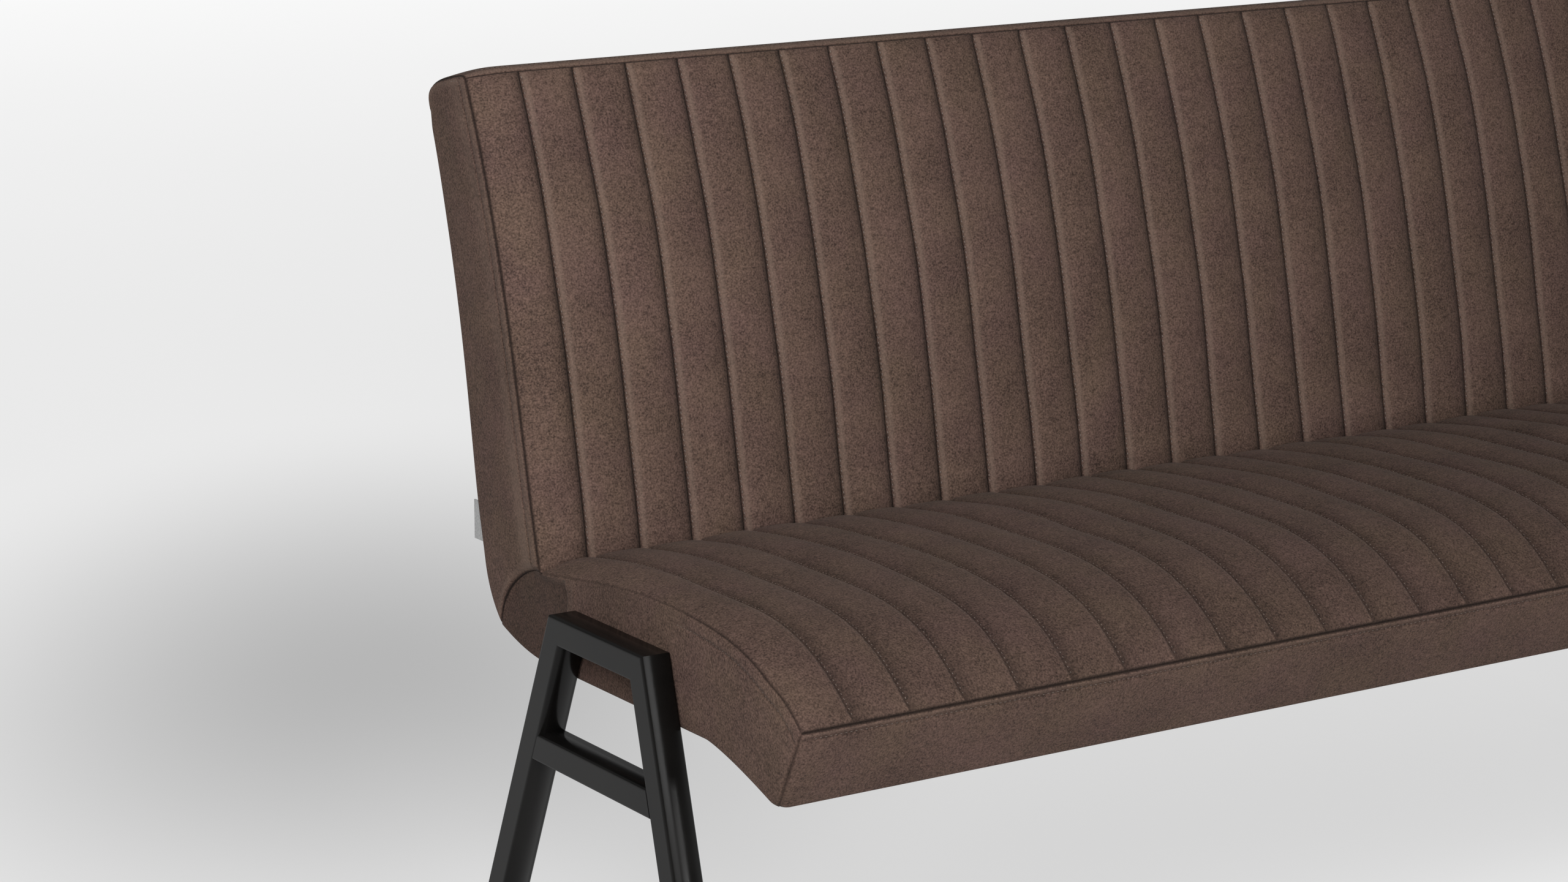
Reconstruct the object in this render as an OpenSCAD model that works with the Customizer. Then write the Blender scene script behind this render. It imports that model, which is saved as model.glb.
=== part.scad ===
// Dining sofa: a channel-stitched seat and back on two side frames of rectangular tube.
// Millimetres. +X runs along the sofa, the front faces -Y, +Z is up.
// The origin lies on the floor, in the middle of the sofa's length and depth.
// The side section is worked out from the crease between seat and back, at y = 0 and z = 0 there.

/* [Sewn channels] */
// Width of one sewn channel
channel_w = 58; // [46:1:70]
// Width of the first and of the last channel
end_channel_w = 54; // [40:1:70]
// Number of channels between the two end channels
channel_n = 24; // [12:1:28]
// Height of a channel's crown above its seams
channel_crown = 5; // [2:0.5:9]
// Fall of the cover from the outermost channel seam to the side seam
end_fall = 8; // [2:1:14]
// How far a cushion's side is drawn in between its corners
draw_in = 4; // [0:0.5:8]

/* [Seat] */
// Height above the floor of the crease between seat and back
crease_h = 458; // [420:1:520]
// Depth from the crease to the front seam
seat_d = 446; // [410:1:500]
// Height of the seat's crown above the crease
seat_rise = 18; // [10:1:28]
// Distance from the crease to the highest line of the seat
crown_d = 200; // [160:1:240]
// Drop of the front seam below the crease
seat_drop = 48; // [35:1:60]
// Thickness of the seat's foam
seat_pad_t = 32; // [24:1:40]
// Thickness of the bent plywood deck
deck_t = 8; // [6:1:12]
// Drop of the seat's underside below the crease
body_drop = 93; // [88:1:110]
// How far the front edge hangs below the underside
front_lip = 33; // [20:1:45]
// How far the front panel leans back from its top to its bottom
front_lean = 38; // [20:1:50]
// Thickness of the padding on the front panel, the ends and the top
edge_pad_t = 14; // [8:1:18]

/* [Back] */
// Height of the back's front face above the crease
back_h = 437; // [380:1:500]
// Lean of the back where it leaves the seat, in degrees
back_lean = 10.2; // [5:0.1:14]
// How far the top bows back beyond that lean
back_bow = 39.5; // [20:0.5:55]
// Thickness of the back at the crease
back_t_low = 105; // [96:1:120]
// Thickness of the back at its top
back_t_top = 86; // [80:1:100]
// Thickness of the back's foam
back_pad_t = 40; // [30:1:42]
// Thickness of the bent plywood back board
board_t = 8; // [6:1:12]
// Thickness of the padded rear panel
rear_pad_t = 12; // [6:1:14]
// Height of the rounded top edge
top_crown = 25; // [12:1:30]
// Radius of the rear face below the crease
heel_r = 95; // [85:1:110]
// Radius of the seat's rounded rear end, seen from the side
seat_end_r = 77; // [70:1:80]

/* [Wooden frame] */
// Thickness of the plywood ribs
rib_t = 15; // [9:1:21]
// Thickness of the front, rear and top rails
rail_board_t = 18; // [12:1:20]
// Diameter of the cut-outs that lighten the ribs
cutout_d = 30; // [16:1:34]

/* [Steel rails] */
// Side of the square rails that run through the ribs
rail_s = 30; // [20:1:32]
// Wall of the square rails
rail_wall = 2; // [1:0.5:3]
// Thickness of the plate welded to the rails' ends
plate_t = 4; // [3:0.5:6]

/* [Side frames] */
// Width of the tube of the legs and bars, along the sofa
tube_w = 31; // [28:1:34]
// Depth of that tube, in the plane of the side frame
tube_s = 26; // [24:1:30]
// Wall of that tube
tube_wall = 2; // [1.5:0.5:3]
// Outer corner radius of that tube
tube_r = 2.5; // [1:0.5:5]
// Distance from the crease to the middle of the top bar
frame_mid = 157; // [145:1:175]
// Length of the top bar over its mitred corners
top_bar_l = 164; // [160:1:190]
// Splay of the rear leg, in degrees
rear_splay = 22.7; // [15:0.1:26]
// Splay of the front leg, in degrees
front_splay = 15.4; // [10:0.1:20]
// Drop of the cross bar's upper face below the top bar's upper face
cross_bar_drop = 120; // [80:1:200]
// Thickness of a glide's sole
glide_sole_t = 5; // [3:1:8]
// Length of a glide's plug inside the tube
glide_plug_l = 18; // [10:1:30]

/* [Fasteners] */
// Nominal diameter of the bolts that hold a side frame
bolt_d = 8; // [6:1:10]
// Distance between the two bolts of a side frame
bolt_gap = 50; // [40:1:60]
// Distance of the bolts below the deck
bolt_drop = 16; // [14:1:20]
// Outer diameter of the washers
washer_d = 17; // [15:1:20]
// Thickness of the washers
washer_t = 1.6; // [1:0.2:2.5]
// Thickness of the nylon spacers between cushion and side frame
spacer_t = 2; // [2:0.5:6]
// Outer diameter of the nylon spacers
spacer_d = 24; // [18:1:28]

/* [Tab] */
// Height of the plain sewn tab on the left edge of the rear panel
tab_h = 40; // [25:1:60]
// Height of the tab's lower edge above the crease, before the back's lean
tab_low = 13; // [0:1:40]
// How far the tab stands out
tab_out = 26; // [8:1:30]
// Thickness of the tab
tab_t = 2; // [1:0.5:4]

/* [Hidden] */

gap = 0.3;                 // clearance round soft pieces and beside wood
slide_gap = 0.25;          // clearance of the rails in the ribs and of the plugs in the tubes
past = 1;                  // how far a cutting shape passes the face that it opens
rod_sides = 32;            // sides of bolts, washers and holes
cushion_w = channel_n * channel_w + 2 * end_channel_w;
channels = channel_n + 2;
inner_rib_n = 4;           // ribs between the two side ribs
seat_rows = 12;            // rows of facets from the crease to the front seam
back_rows = 11;            // rows of facets from the back's top to the crease
shoulder = 0.22;           // share of a channel's width over which its side rises

cover_brown = [0.35, 0.28, 0.25];
frame_black = [0.10, 0.10, 0.10];
ply_tan = [0.78, 0.64, 0.45];
zinc_grey = [0.62, 0.64, 0.66];

// Point where the line through a and b meets the line through c and d
function meet(a, b, c, d) =
  let (r = b - a, s = d - c, q = c - a, k = (q.x * s.y - q.y * s.x) / (r.x * s.y - r.y * s.x))
  a + k * r;

// Seat section. u is the distance forward of the crease, k the depth below the cover.
front_run = seat_d - crown_d;
function seat_z(u) = u < crown_d
  ? seat_rise * (1 - pow(1 - u / crown_d, 2))
  : seat_rise - (seat_rise + seat_drop) * pow((u - crown_d) / front_run, 4);
function seat_slope(u) = u < crown_d
  ? 2 * seat_rise * (1 - u / crown_d) / crown_d
  : -4 * (seat_rise + seat_drop) * pow((u - crown_d) / front_run, 3) / front_run;
function seat_at(u, k) =
  let (s = seat_slope(u)) [-u, seat_z(u)] - k * [s, 1] / sqrt(1 + s * s);
function seat_u(j) = seat_d * sin(90 * j / seat_rows);

// The foam stops short of the front seam on its underside
pad_setback = 22;
function under_u(u) = u * (seat_d - pad_setback) / seat_d;
deck_top_k = seat_pad_t + gap;
deck_low_k = deck_top_k + deck_t;
function seat_line(k) = [for (j = [0:seat_rows]) seat_at(under_u(seat_u(j)), k)];

// Front panel. v runs from its top, 0, to its bottom, 1, and k is the depth behind it.
front_top = [-seat_d, -seat_drop];
front_low = [front_lean - seat_d, -body_drop - front_lip];
front_dir = (front_low - front_top) / norm(front_low - front_top);
front_in = [-front_dir.y, front_dir.x];
function front_at(v, k) = front_top + v * (front_low - front_top) + k * front_in;

// Underside, from the rear corner to the front panel
heel_start = atan((back_t_low - back_t_top) * -cos(back_lean) / back_h + tan(back_lean));
heel_turn = 47;            // slope of the rear face at the lower rear corner
rear_foot = [back_t_low * cos(back_lean), -back_t_low * sin(back_lean)];
heel_centre = rear_foot - heel_r * [cos(heel_start), -sin(heel_start)];
function heel_at(a, k) = heel_centre + (heel_r - k) * [cos(a), -sin(a)];
corner = heel_at(heel_turn, 0);
fall_run = 116;            // run of the underside's fall towards the front panel
flat_front = seat_d - front_lean - fall_run;
flat_rear = 20;            // where the underside starts to rise towards the rear corner
function under_z(y) = y > -flat_rear
  ? -body_drop + (corner.y + body_drop) * pow((y + flat_rear) / (corner.x + flat_rear), 2)
  : y > -flat_front ? -body_drop
  : -body_drop - front_lip * pow((-flat_front - y) / (-flat_front - front_low.x), 1.3);
function under_line(y0, y1, lift, steps = 14) =
  [for (i = [0:steps]) let (y = y0 + (y1 - y0) * i / steps) [y, under_z(y) + lift]];

// Back section. t runs from the crease, 0, to the top, 1, and k is the depth behind the cover.
function back_y(t) = back_h * t * tan(back_lean) + back_bow * pow(t, 3) + gap;
function back_slope(t) = tan(back_lean) + 3 * back_bow * t * t / back_h;
function back_t(t) = back_t_low + (back_t_top - back_t_low) * t;
function back_at(t, k) =
  let (s = back_slope(t)) [back_y(t), back_h * t] + k * [1, -s] / sqrt(1 + s * s);
function back_line(t0, t1, k, steps = back_steps) =
  [for (i = [0:steps]) back_at(t0 + (t1 - t0) * i / steps, k)];
function rear_line(t0, t1, k, steps = back_steps) =
  [for (i = [0:steps]) let (t = t0 + (t1 - t0) * i / steps) back_at(t, back_t(t) - k)];
function heel_line(a0, a1, k, steps = 6) = [for (i = [0:steps]) heel_at(a0 + (a1 - a0) * i / steps, k)];
back_steps = 10;           // steps in the outline of a whole back layer
board_front_k = back_pad_t + gap;
board_rear_k = board_front_k + board_t;

// The middle of the sofa's depth is the origin
rear_reach = back_at(1, back_t_top).x;
origin_y = (seat_d - rear_reach) / 2;

// The seat's rounded rear end: an arc from the crease to the lower rear corner
arc_low = 7;               // slope at which the arc meets the corner
end_arc_mid = corner - seat_end_r * [cos(arc_low), sin(arc_low)];
arc_high = acos(-end_arc_mid.x / seat_end_r);
function end_arc(a0, a1, r, steps = 8) =
  [for (i = [0:steps]) let (a = a0 + (a1 - a0) * i / steps) end_arc_mid + r * [cos(a), sin(a)]];

// Ribs: seat arm and back arm in one piece of plywood
step_z = -49;              // shelf of the ribs that carries the rear rail and the back board
function step_at(k) = [back_at(0, k).x + step_z * tan(back_lean) / 2, step_z];
rib_lift = 2;              // height of the ribs above the underside
rib_low = rib_lift - body_drop;
rib_steps = 9;             // steps of the back's outline that the ribs reach up
rib_top_t = rib_steps / back_steps;
rib_front_k = edge_pad_t + gap + rail_board_t;

// Side frames and what they hang on
bolt_z = seat_z(frame_mid) - deck_low_k - bolt_drop;
frame_top_z = bolt_z + tube_s / 2;
frame_floor_z = glide_sole_t - crease_h;
wrench_room = 4;
rail_gap = bolt_gap + washer_d + rail_s + 2 * wrench_room;
rail_rise = 9;              // height of the steel rails above the bolts
rail_top_z = bolt_z + rail_rise;
side_rib_x = edge_pad_t + gap;
plate_x = side_rib_x + rib_t;
steel_rail_x = plate_x + plate_t;
frame_x = spacer_t + tube_w;
rivet_d = bolt_d + 3;

module place() { translate([-cushion_w / 2, origin_y, crease_h]) children(); }

// Plate of the given outline in the side plane, from x over the width w
module side_plate(x, w) { translate([x, 0, 0]) rotate([90, 0, 90]) linear_extrude(w) children(); }

// Cylinder along +X from the point [x, y, z]
module x_rod(at, d, l) { translate(at) rotate([0, 90, 0]) cylinder(d = d, h = l, $fn = rod_sides); }

// Copies its children on the left side and, mirrored, on the right side
module both_sides() {
  children();
  translate([cushion_w, 0, 0]) mirror([1, 0, 0]) children();
}

module right_side() { translate([cushion_w, 0, 0]) mirror([1, 0, 0]) children(); }

// Columns of a quilted cover: place along X and height above the seams
function side_fall(x) = -end_fall * pow(max(0, 1 - min(x, cushion_w - x) / end_channel_w), 2);
function channel_start(c) = c == 0 ? 0 : end_channel_w + (c - 1) * channel_w;
function channel_width(c) = c == 0 || c == channels - 1 ? end_channel_w : channel_w;
quilt_columns = [
  for (c = [0:channels - 1], f = [0, shoulder, 1 - shoulder])
    let (x = channel_start(c) + f * channel_width(c)) [x, side_fall(x), f == 0 ? 0 : channel_crown],
  [cushion_w, side_fall(cushion_w), 0]];

// A quilted cushion. cover and under are rows of [y, z] points, lift the outward direction of each
// row and fade the share of the channels' height that is left there.
module quilt(cover, under, lift, fade) {
  rows = len(cover);
  cols = len(quilt_columns);
  half = floor(cols / 2);
  function edge(i) = i == 0 ? 1 : i == cols - 1 ? -1 : 0;
  top = [for (i = [0:cols - 1], j = [0:rows - 1])
    let (q = quilt_columns[i], h = (q[1] + q[2] * fade[j]) * (fade[j] > 0 ? 1 : 0),
         p = cover[j] + h * lift[j], pull = draw_in * sin(180 * j / (rows - 1)))
    [q[0] + edge(i) * pull, p.x, p.y]];
  low = [for (x = [0, cushion_w], j = [0:rows - 1]) [x, under[j].x, under[j].y]];
  function t(i, j) = i * rows + j;
  function l(j) = cols * rows + j;
  function r(j) = (cols + 1) * rows + j;
  skin = [for (i = [0:cols - 2], j = [0:rows - 2], s = [0, 1])
    s == 0 ? [t(i, j), t(i + 1, j), t(i + 1, j + 1)] : [t(i, j), t(i + 1, j + 1), t(i, j + 1)]];
  ends = [for (j = [0:rows - 2]) each [
    [t(0, j), t(0, j + 1), l(j + 1)], [t(0, j), l(j + 1), l(j)],
    [t(cols - 1, j), r(j + 1), t(cols - 1, j + 1)], [t(cols - 1, j), r(j), r(j + 1)],
    [l(j), l(j + 1), r(j + 1)], [l(j), r(j + 1), r(j)]]];
  last = rows - 1;
  edges = [for (i = [0:cols - 2]) each [
    [t(i, last), t(i + 1, last), i < half ? l(last) : r(last)],
    [t(i + 1, 0), t(i, 0), i < half ? l(0) : r(0)]]];
  middle = [[t(half, last), r(last), l(last)], [t(half, 0), l(0), r(0)]];
  polyhedron(concat(top, low), concat(skin, ends, edges, middle));
}

// Foam and cover of the seat, with the channels running from the crease to the front seam
module seat_cushion() {
  u = [for (j = [0:seat_rows]) seat_u(j)];
  color(cover_brown) place() quilt(
    [for (x = u) seat_at(x, 0)],
    [for (x = u) seat_at(under_u(x), seat_pad_t)],
    [for (x = u) seat_at(x, -1) - seat_at(x, 0)],
    [for (j = [0:seat_rows]) j == 0 || j == seat_rows ? 0 : 1]);
}

// Foam and cover of the back, with the channels running from the top seam to the crease
module back_cushion() {
  t = [for (j = [0:back_rows]) 1 - j / back_rows];
  color(cover_brown) place() quilt(
    [for (x = t) back_at(x, 0)],
    [for (x = t) back_at(x, back_pad_t)],
    [for (x = t) back_at(x, -1) - back_at(x, 0)],
    [for (j = [0:back_rows]) j == 0 || j == back_rows ? 0 : 1]);
}

// Padded panel that closes the seat's front, bulging a little and rounded at its lower edge
module seat_front_pad() {
  bulge = 2;
  rounding = [[1, 0.15], [1.01, 0.5], [1, 1]];   // v and share of the thickness along the lower edge
  down = [0, -gap];
  inner_top = meet(front_top + down, seat_at(under_u(seat_d), seat_pad_t) + down,
                   front_at(0, edge_pad_t), front_at(1, edge_pad_t));
  color(cover_brown) place() side_plate(0, cushion_w) polygon(concat(
    [front_top + down],
    [for (v = [0.1:0.1:0.9]) front_at(v, -bulge * sin(180 * v))],
    [for (r = rounding) front_at(r[0], r[1] * edge_pad_t)],
    [inner_top]));
}

// Padding on one end of the seat's body, with the rounded rear end
module seat_end_pad() {
  top = seat_line(deck_top_k);
  inner = edge_pad_t + gap;
  front_up = meet(front_at(0, inner), front_at(1, inner), top[seat_rows], top[seat_rows - 1]);
  side_plate(0, edge_pad_t) polygon(concat(
    [front_at(1, inner), front_up],
    [for (j = [seat_rows - 1:-1:0]) top[j]],
    end_arc(arc_high, arc_low + 3, seat_end_r),
    under_line(corner.x, front_at(1, inner).x + past, 0)));
}
module drilled_seat_end() {
  difference() {
    seat_end_pad();
    bolt_holes(-past, edge_pad_t + 2 * past);
  }
}
module seat_end_pad_left() { color(cover_brown) place() drilled_seat_end(); }
module seat_end_pad_right() { color(cover_brown) place() right_side() drilled_seat_end(); }

// Padding on one end of the back, tapering to the lower rear corner behind the seat's end
module back_end_pad() {
  tail_k = 10;             // depth behind the cover at which the tail starts
  tail_low = arc_low + 17;
  tail_high = arc_high - 14;
  tail_turn = heel_turn - 7;
  side_plate(0, edge_pad_t) polygon(concat(
    [back_at(0, tail_k) - [0, gap]],
    back_line(0, 1, board_front_k),
    rear_line(1, 0, rear_pad_t + gap),
    heel_line(heel_start, tail_turn, rear_pad_t + gap),
    end_arc(tail_low, tail_high, seat_end_r + gap)));
}
module back_end_pad_left() { color(cover_brown) place() back_end_pad(); }
module back_end_pad_right() { color(cover_brown) place() right_side() back_end_pad(); }

// Rounded padding over the top edge, from the front seam to the rear panel
module back_top_pad() {
  steps = 16;
  rear_bias = 1.25;        // above 1 the highest line lies further back
  fullness = 0.6;          // below 1 the shoulders are rounder
  start = back_at(1, 0);
  along = (back_at(1, back_t_top) - start) / back_t_top;
  up = [-along.y, along.x];
  lift = gap * up;
  color(cover_brown) place() side_plate(0, cushion_w) polygon(concat(
    [start + lift],
    [for (i = [1:steps - 1]) let (f = i / steps)
      start + lift + f * back_t_top * along + top_crown * pow(sin(180 * pow(f, rear_bias)), fullness) * up],
    [start + lift + back_t_top * along]));
}

// Padded panel that closes the back's rear and wraps round its heel
module back_rear_panel() {
  undercut = 10;           // slope by which the inner face stops short of the lower edge
  color(cover_brown) place() side_plate(0, cushion_w) polygon(concat(
    rear_line(1, 0, 0), heel_line(heel_start + 4, heel_turn, 0),
    heel_line(heel_turn - undercut, heel_start + 4, rear_pad_t), rear_line(0, 1, rear_pad_t)));
}

// Woven cover stapled under the seat, between the end pads
module bottom_cover() {
  cloth_t = 1.2;
  rear_y = corner.x - past;
  front_y = front_at(1, edge_pad_t + gap).x + past;
  color(frame_black) place() side_plate(edge_pad_t + gap, cushion_w - 2 * (edge_pad_t + gap))
    polygon(concat(under_line(rear_y, front_y, 0), under_line(front_y, rear_y, cloth_t)));
}

// Plain folded tab sewn into the edge of the rear panel
module sewn_tab() {
  t = [tab_low, tab_low + tab_h] / back_h;
  low = back_at(t[0], back_t(t[0]));
  high = back_at(t[1], back_t(t[1]));
  out = [tab_out, 0];
  color(zinc_grey) place() side_plate(edge_pad_t / 2, tab_t) polygon([low, low + out, high + out, high]);
}

// Bent plywood under the seat's foam
module seat_deck() {
  under = seat_line(deck_low_k);
  color(ply_tan) place() side_plate(side_rib_x, cushion_w - 2 * side_rib_x) polygon(concat(
    seat_line(deck_top_k), [for (j = [seat_rows:-1:0]) under[j]]));
}

// Bent plywood behind the back's foam, standing on the ribs
module back_board() {
  color(ply_tan) place() side_plate(side_rib_x, cushion_w - 2 * side_rib_x) polygon(concat(
    back_line(1, 0, board_front_k), [step_at(board_front_k), step_at(board_rear_k)],
    back_line(0, 1, board_rear_k)));
}

// Outline shared by all ribs: the seat arm and the back arm
module rib_outline() {
  under = seat_line(deck_low_k);
  front_up = meet(front_at(0, rib_front_k), front_at(1, rib_front_k), under[seat_rows], under[seat_rows - 1]);
  front_down = meet(front_at(0, rib_front_k), front_at(1, rib_front_k), [0, rib_low], [1, rib_low]);
  polygon(concat(
    [front_down, front_up], [for (j = [seat_rows - 1:-1:0]) under[j]],
    [[under[0].x, step_z], step_at(board_rear_k)],
    back_line(0, rib_top_t, board_rear_k, rib_steps), rear_line(rib_top_t, 0, rear_pad_t + gap, rib_steps),
    heel_line(heel_start + 2, heel_turn - 4, rear_pad_t + gap),
    under_line(corner.x - rear_pad_t, -flat_rear, rib_lift, 5)));
}

// Round cut-outs that lighten a rib
module rib_cutouts() {
  seat_places = [0.6, 0.74];       // shares of the seat's depth
  back_place = 0.4;                // share of the back's height
  back_cutout_d = 0.8 * cutout_d;
  for (s = seat_places) let (u = s * seat_d)
    translate([-u, (seat_z(u) - deck_low_k + rib_low) / 2]) circle(d = cutout_d, $fn = rod_sides);
  translate(back_at(back_place, (board_rear_k + back_t(back_place) - rear_pad_t) / 2))
    circle(d = back_cutout_d, $fn = rod_sides);
}

module side_rib() {
  difference() {
    side_plate(side_rib_x, rib_t) difference() { rib_outline(); rib_cutouts(); }
    bolt_holes(side_rib_x - past, rib_t + 2 * past);
  }
}
module side_rib_left() { color(ply_tan) place() side_rib(); }
module side_rib_right() { color(ply_tan) place() right_side() side_rib(); }

// One of the ribs between the side ribs, with square holes for the steel rails
module inner_rib(i) {
  x = (cushion_w - rib_t) * i / (inner_rib_n + 1);
  hole = rail_s + 2 * slide_gap;
  color(ply_tan) place() side_plate(x, rib_t) difference() {
    rib_outline();
    rib_cutouts();
    for (s = [-1, 1]) translate([-frame_mid + s * rail_gap / 2 - hole / 2, rail_top_z - rail_s - slide_gap])
      square(hole);
  }
}
module inner_rib_1() { inner_rib(1); }
module inner_rib_2() { inner_rib(2); }
module inner_rib_3() { inner_rib(3); }
module inner_rib_4() { inner_rib(4); }

// Board behind the padded front panel
module front_rail() {
  k0 = edge_pad_t + gap;
  k1 = k0 + rail_board_t;
  top_v = 0.32;
  low_v = 0.95;
  color(ply_tan) place() side_plate(side_rib_x, cushion_w - 2 * side_rib_x)
    polygon([front_at(top_v, k0), front_at(low_v, k0), front_at(low_v, k1), front_at(top_v, k1)]);
}

// Rail on the ribs' shelf, under the back's foam
module rear_rail() {
  under = seat_at(0, deck_low_k);
  reach = step_at(board_front_k).x - gap;
  color(ply_tan) place() side_plate(side_rib_x, cushion_w - 2 * side_rib_x) polygon([
    [under.x + gap, step_z], [reach, step_z], [reach, -rail_board_t], [under.x + deck_t, -rail_board_t],
    [under.x + deck_t, under.y], [under.x + gap, under.y]]);
}

// Rail between back board and rear panel, on top of the ribs
module top_rail() {
  color(ply_tan) place() side_plate(side_rib_x, cushion_w - 2 * side_rib_x) polygon(concat(
    back_line(rib_top_t, 1, board_rear_k, 1), rear_line(1, rib_top_t, rear_pad_t + gap, 1)));
}

// Square steel tube from one end plate to the other, at the distance u from the crease
module steel_rail(u) {
  l = cushion_w - 2 * steel_rail_x;
  color(frame_black) place() translate([steel_rail_x, -u - rail_s / 2, rail_top_z - rail_s]) difference() {
    cube([l, rail_s, rail_s]);
    translate([-past, rail_wall, rail_wall])
      cube([l + 2 * past, rail_s - 2 * rail_wall, rail_s - 2 * rail_wall]);
  }
}
module steel_rail_front() { steel_rail(frame_mid + rail_gap / 2); }
module steel_rail_rear() { steel_rail(frame_mid - rail_gap / 2); }

// Plate that joins the rails' ends and takes the bolts of a side frame
module end_plate() {
  margin = 4;
  l = rail_gap + rail_s + 2 * margin;
  difference() {
    translate([plate_x, -frame_mid - l / 2, rail_top_z - rail_s - margin])
      cube([plate_t, l, rail_s + margin]);
    bolt_holes(plate_x - past, plate_t + 2 * past);
  }
}
module end_plate_left() { color(frame_black) place() end_plate(); }
module end_plate_right() { color(frame_black) place() right_side() end_plate(); }

// Places of the two bolts of a side frame, as [y, z]
bolt_places = [for (s = [-1, 1]) [-frame_mid + s * bolt_gap / 2, bolt_z]];
bolt_hole_d = bolt_d + 0.5;
module bolt_holes(x, l) {
  for (p = bolt_places) x_rod([x, p.x, p.y], bolt_hole_d, l);
}

// Bolts that run from inside the seat into the top bars
head_t = 5.3;
insert_l = 12;             // length of the inserts behind the tube's wall
engaged_l = 9;             // length of a bolt inside its insert
module frame_bolts() {
  start = -spacer_t - tube_wall - engaged_l;
  shank = plate_x + plate_t + washer_t - start;
  color(zinc_grey) place() both_sides() for (p = bolt_places) {
    x_rod([start, p.x, p.y], bolt_d, shank);
    translate([start + shank, p.x, p.y]) rotate([0, 90, 0]) cylinder(d = washer_d - 2, h = head_t, $fn = 6);
  }
}

ring_sides = 12;
module ring(at, outer_d, inner_d, t) {
  difference() {
    translate(at) rotate([0, 90, 0]) cylinder(d = outer_d, h = t, $fn = ring_sides);
    x_rod(at - [past, 0, 0], inner_d, t + 2 * past);
  }
}
module bolt_washers() {
  color(zinc_grey) place() both_sides() for (p = bolt_places)
    ring([plate_x + plate_t, p.x, p.y], washer_d, bolt_hole_d, washer_t);
}

// Nylon spacers that keep a side frame off the cushion's end
module spacers() {
  color(frame_black) place() both_sides() for (p = bolt_places)
    ring([-spacer_t, p.x, p.y], spacer_d, bolt_hole_d, spacer_t);
}

// Threaded inserts in the inner wall of the top bars
module rivet_nuts() {
  color(zinc_grey) place() both_sides() for (p = bolt_places)
    ring([-spacer_t - tube_wall - insert_l, p.x, p.y], rivet_d, bolt_d, insert_l + tube_wall);
}

// Mitred corner of a side frame at the depth w behind its outer faces.
// side is 1 for the rear leg and -1 for the front leg.
function splay(side) = side > 0 ? rear_splay : front_splay;
function corner_at(side, w) =
  [-frame_mid + side * (top_bar_l / 2 - w * (1 - sin(splay(side))) / cos(splay(side))), frame_top_z - w];
function leg_at(side, w, z) =
  let (c = corner_at(side, w)) [c.x + side * tan(splay(side)) * (c.y - z), z];

// Rectangle of w by s with rounded corners
module soft_rectangle(w, s, r) {
  translate([r, 0]) square([w - 2 * r, s]);
  translate([0, r]) square([w, s - 2 * r]);
  for (a = [r, w - r], b = [r, s - r]) translate([a, b]) circle(r = r, $fn = rod_sides);
}

// Straight length of the tube along +Z, from z0 to z1. Its section spans x to tube_w and y to tube_s.
module tube_length(z0, z1) {
  bore_r = max(tube_r - tube_wall, tube_wall / 4);
  difference() {
    translate([0, 0, z0]) linear_extrude(z1 - z0) soft_rectangle(tube_w, tube_s, tube_r);
    translate([tube_wall, tube_wall, z0 - past]) linear_extrude(z1 - z0 + 2 * past)
      soft_rectangle(tube_w - 2 * tube_wall, tube_s - 2 * tube_wall, bore_r);
  }
}

// Space of a side frame's thickness inside the given outline, in which a tube is cut off
module cut_off(outline) { side_plate(-frame_x - past, tube_w + 2 * past) polygon(outline); }

module leg(side) {
  z = frame_floor_z;
  lean = side * splay(side);
  top = corner_at(side, 0);
  reach = (top.y - z) / cos(lean) + tube_s;
  out = tube_s + past;
  intersection() {
    translate([-frame_x, top.x, top.y]) rotate([lean, 0, 0])
      translate([0, side > 0 ? -tube_s : 0, 0]) tube_length(-reach, tube_s);
    cut_off([corner_at(side, -past), corner_at(side, out), leg_at(side, out, z), leg_at(side, -past, z)]);
  }
}

// The tube's length along Y at the height z of its lower face, from its rear end y
module level_tube(y, z, l) {
  translate([-frame_x, y, z]) rotate([90, 0, 0]) tube_length(0, l);
}

module top_bar() {
  out = tube_s + past;
  difference() {
    intersection() {
      level_tube(top_bar_l / 2 - frame_mid + past, frame_top_z - tube_s, top_bar_l + 2 * past);
      cut_off([corner_at(1, -past), corner_at(-1, -past), corner_at(-1, out), corner_at(1, out)]);
    }
    for (p = bolt_places) x_rod([-spacer_t - tube_wall - past, p.x, p.y], rivet_d, tube_wall + 2 * past);
  }
}

module cross_bar() {
  z1 = frame_top_z - cross_bar_drop;
  z0 = z1 - tube_s;
  rear = leg_at(1, tube_s, z0 - past);
  front = leg_at(-1, tube_s, z0 - past);
  intersection() {
    level_tube(rear.x + past, z0, rear.x - front.x + 2 * past);
    cut_off([rear, leg_at(1, tube_s, z1 + past), leg_at(-1, tube_s, z1 + past), front]);
  }
}

module left_top_bar() { color(frame_black) place() top_bar(); }
module left_cross_bar() { color(frame_black) place() cross_bar(); }
module left_front_leg() { color(frame_black) place() leg(-1); }
module left_rear_leg() { color(frame_black) place() leg(1); }
module right_top_bar() { color(frame_black) place() right_side() top_bar(); }
module right_cross_bar() { color(frame_black) place() right_side() cross_bar(); }
module right_front_leg() { color(frame_black) place() right_side() leg(-1); }
module right_rear_leg() { color(frame_black) place() right_side() leg(1); }

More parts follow.
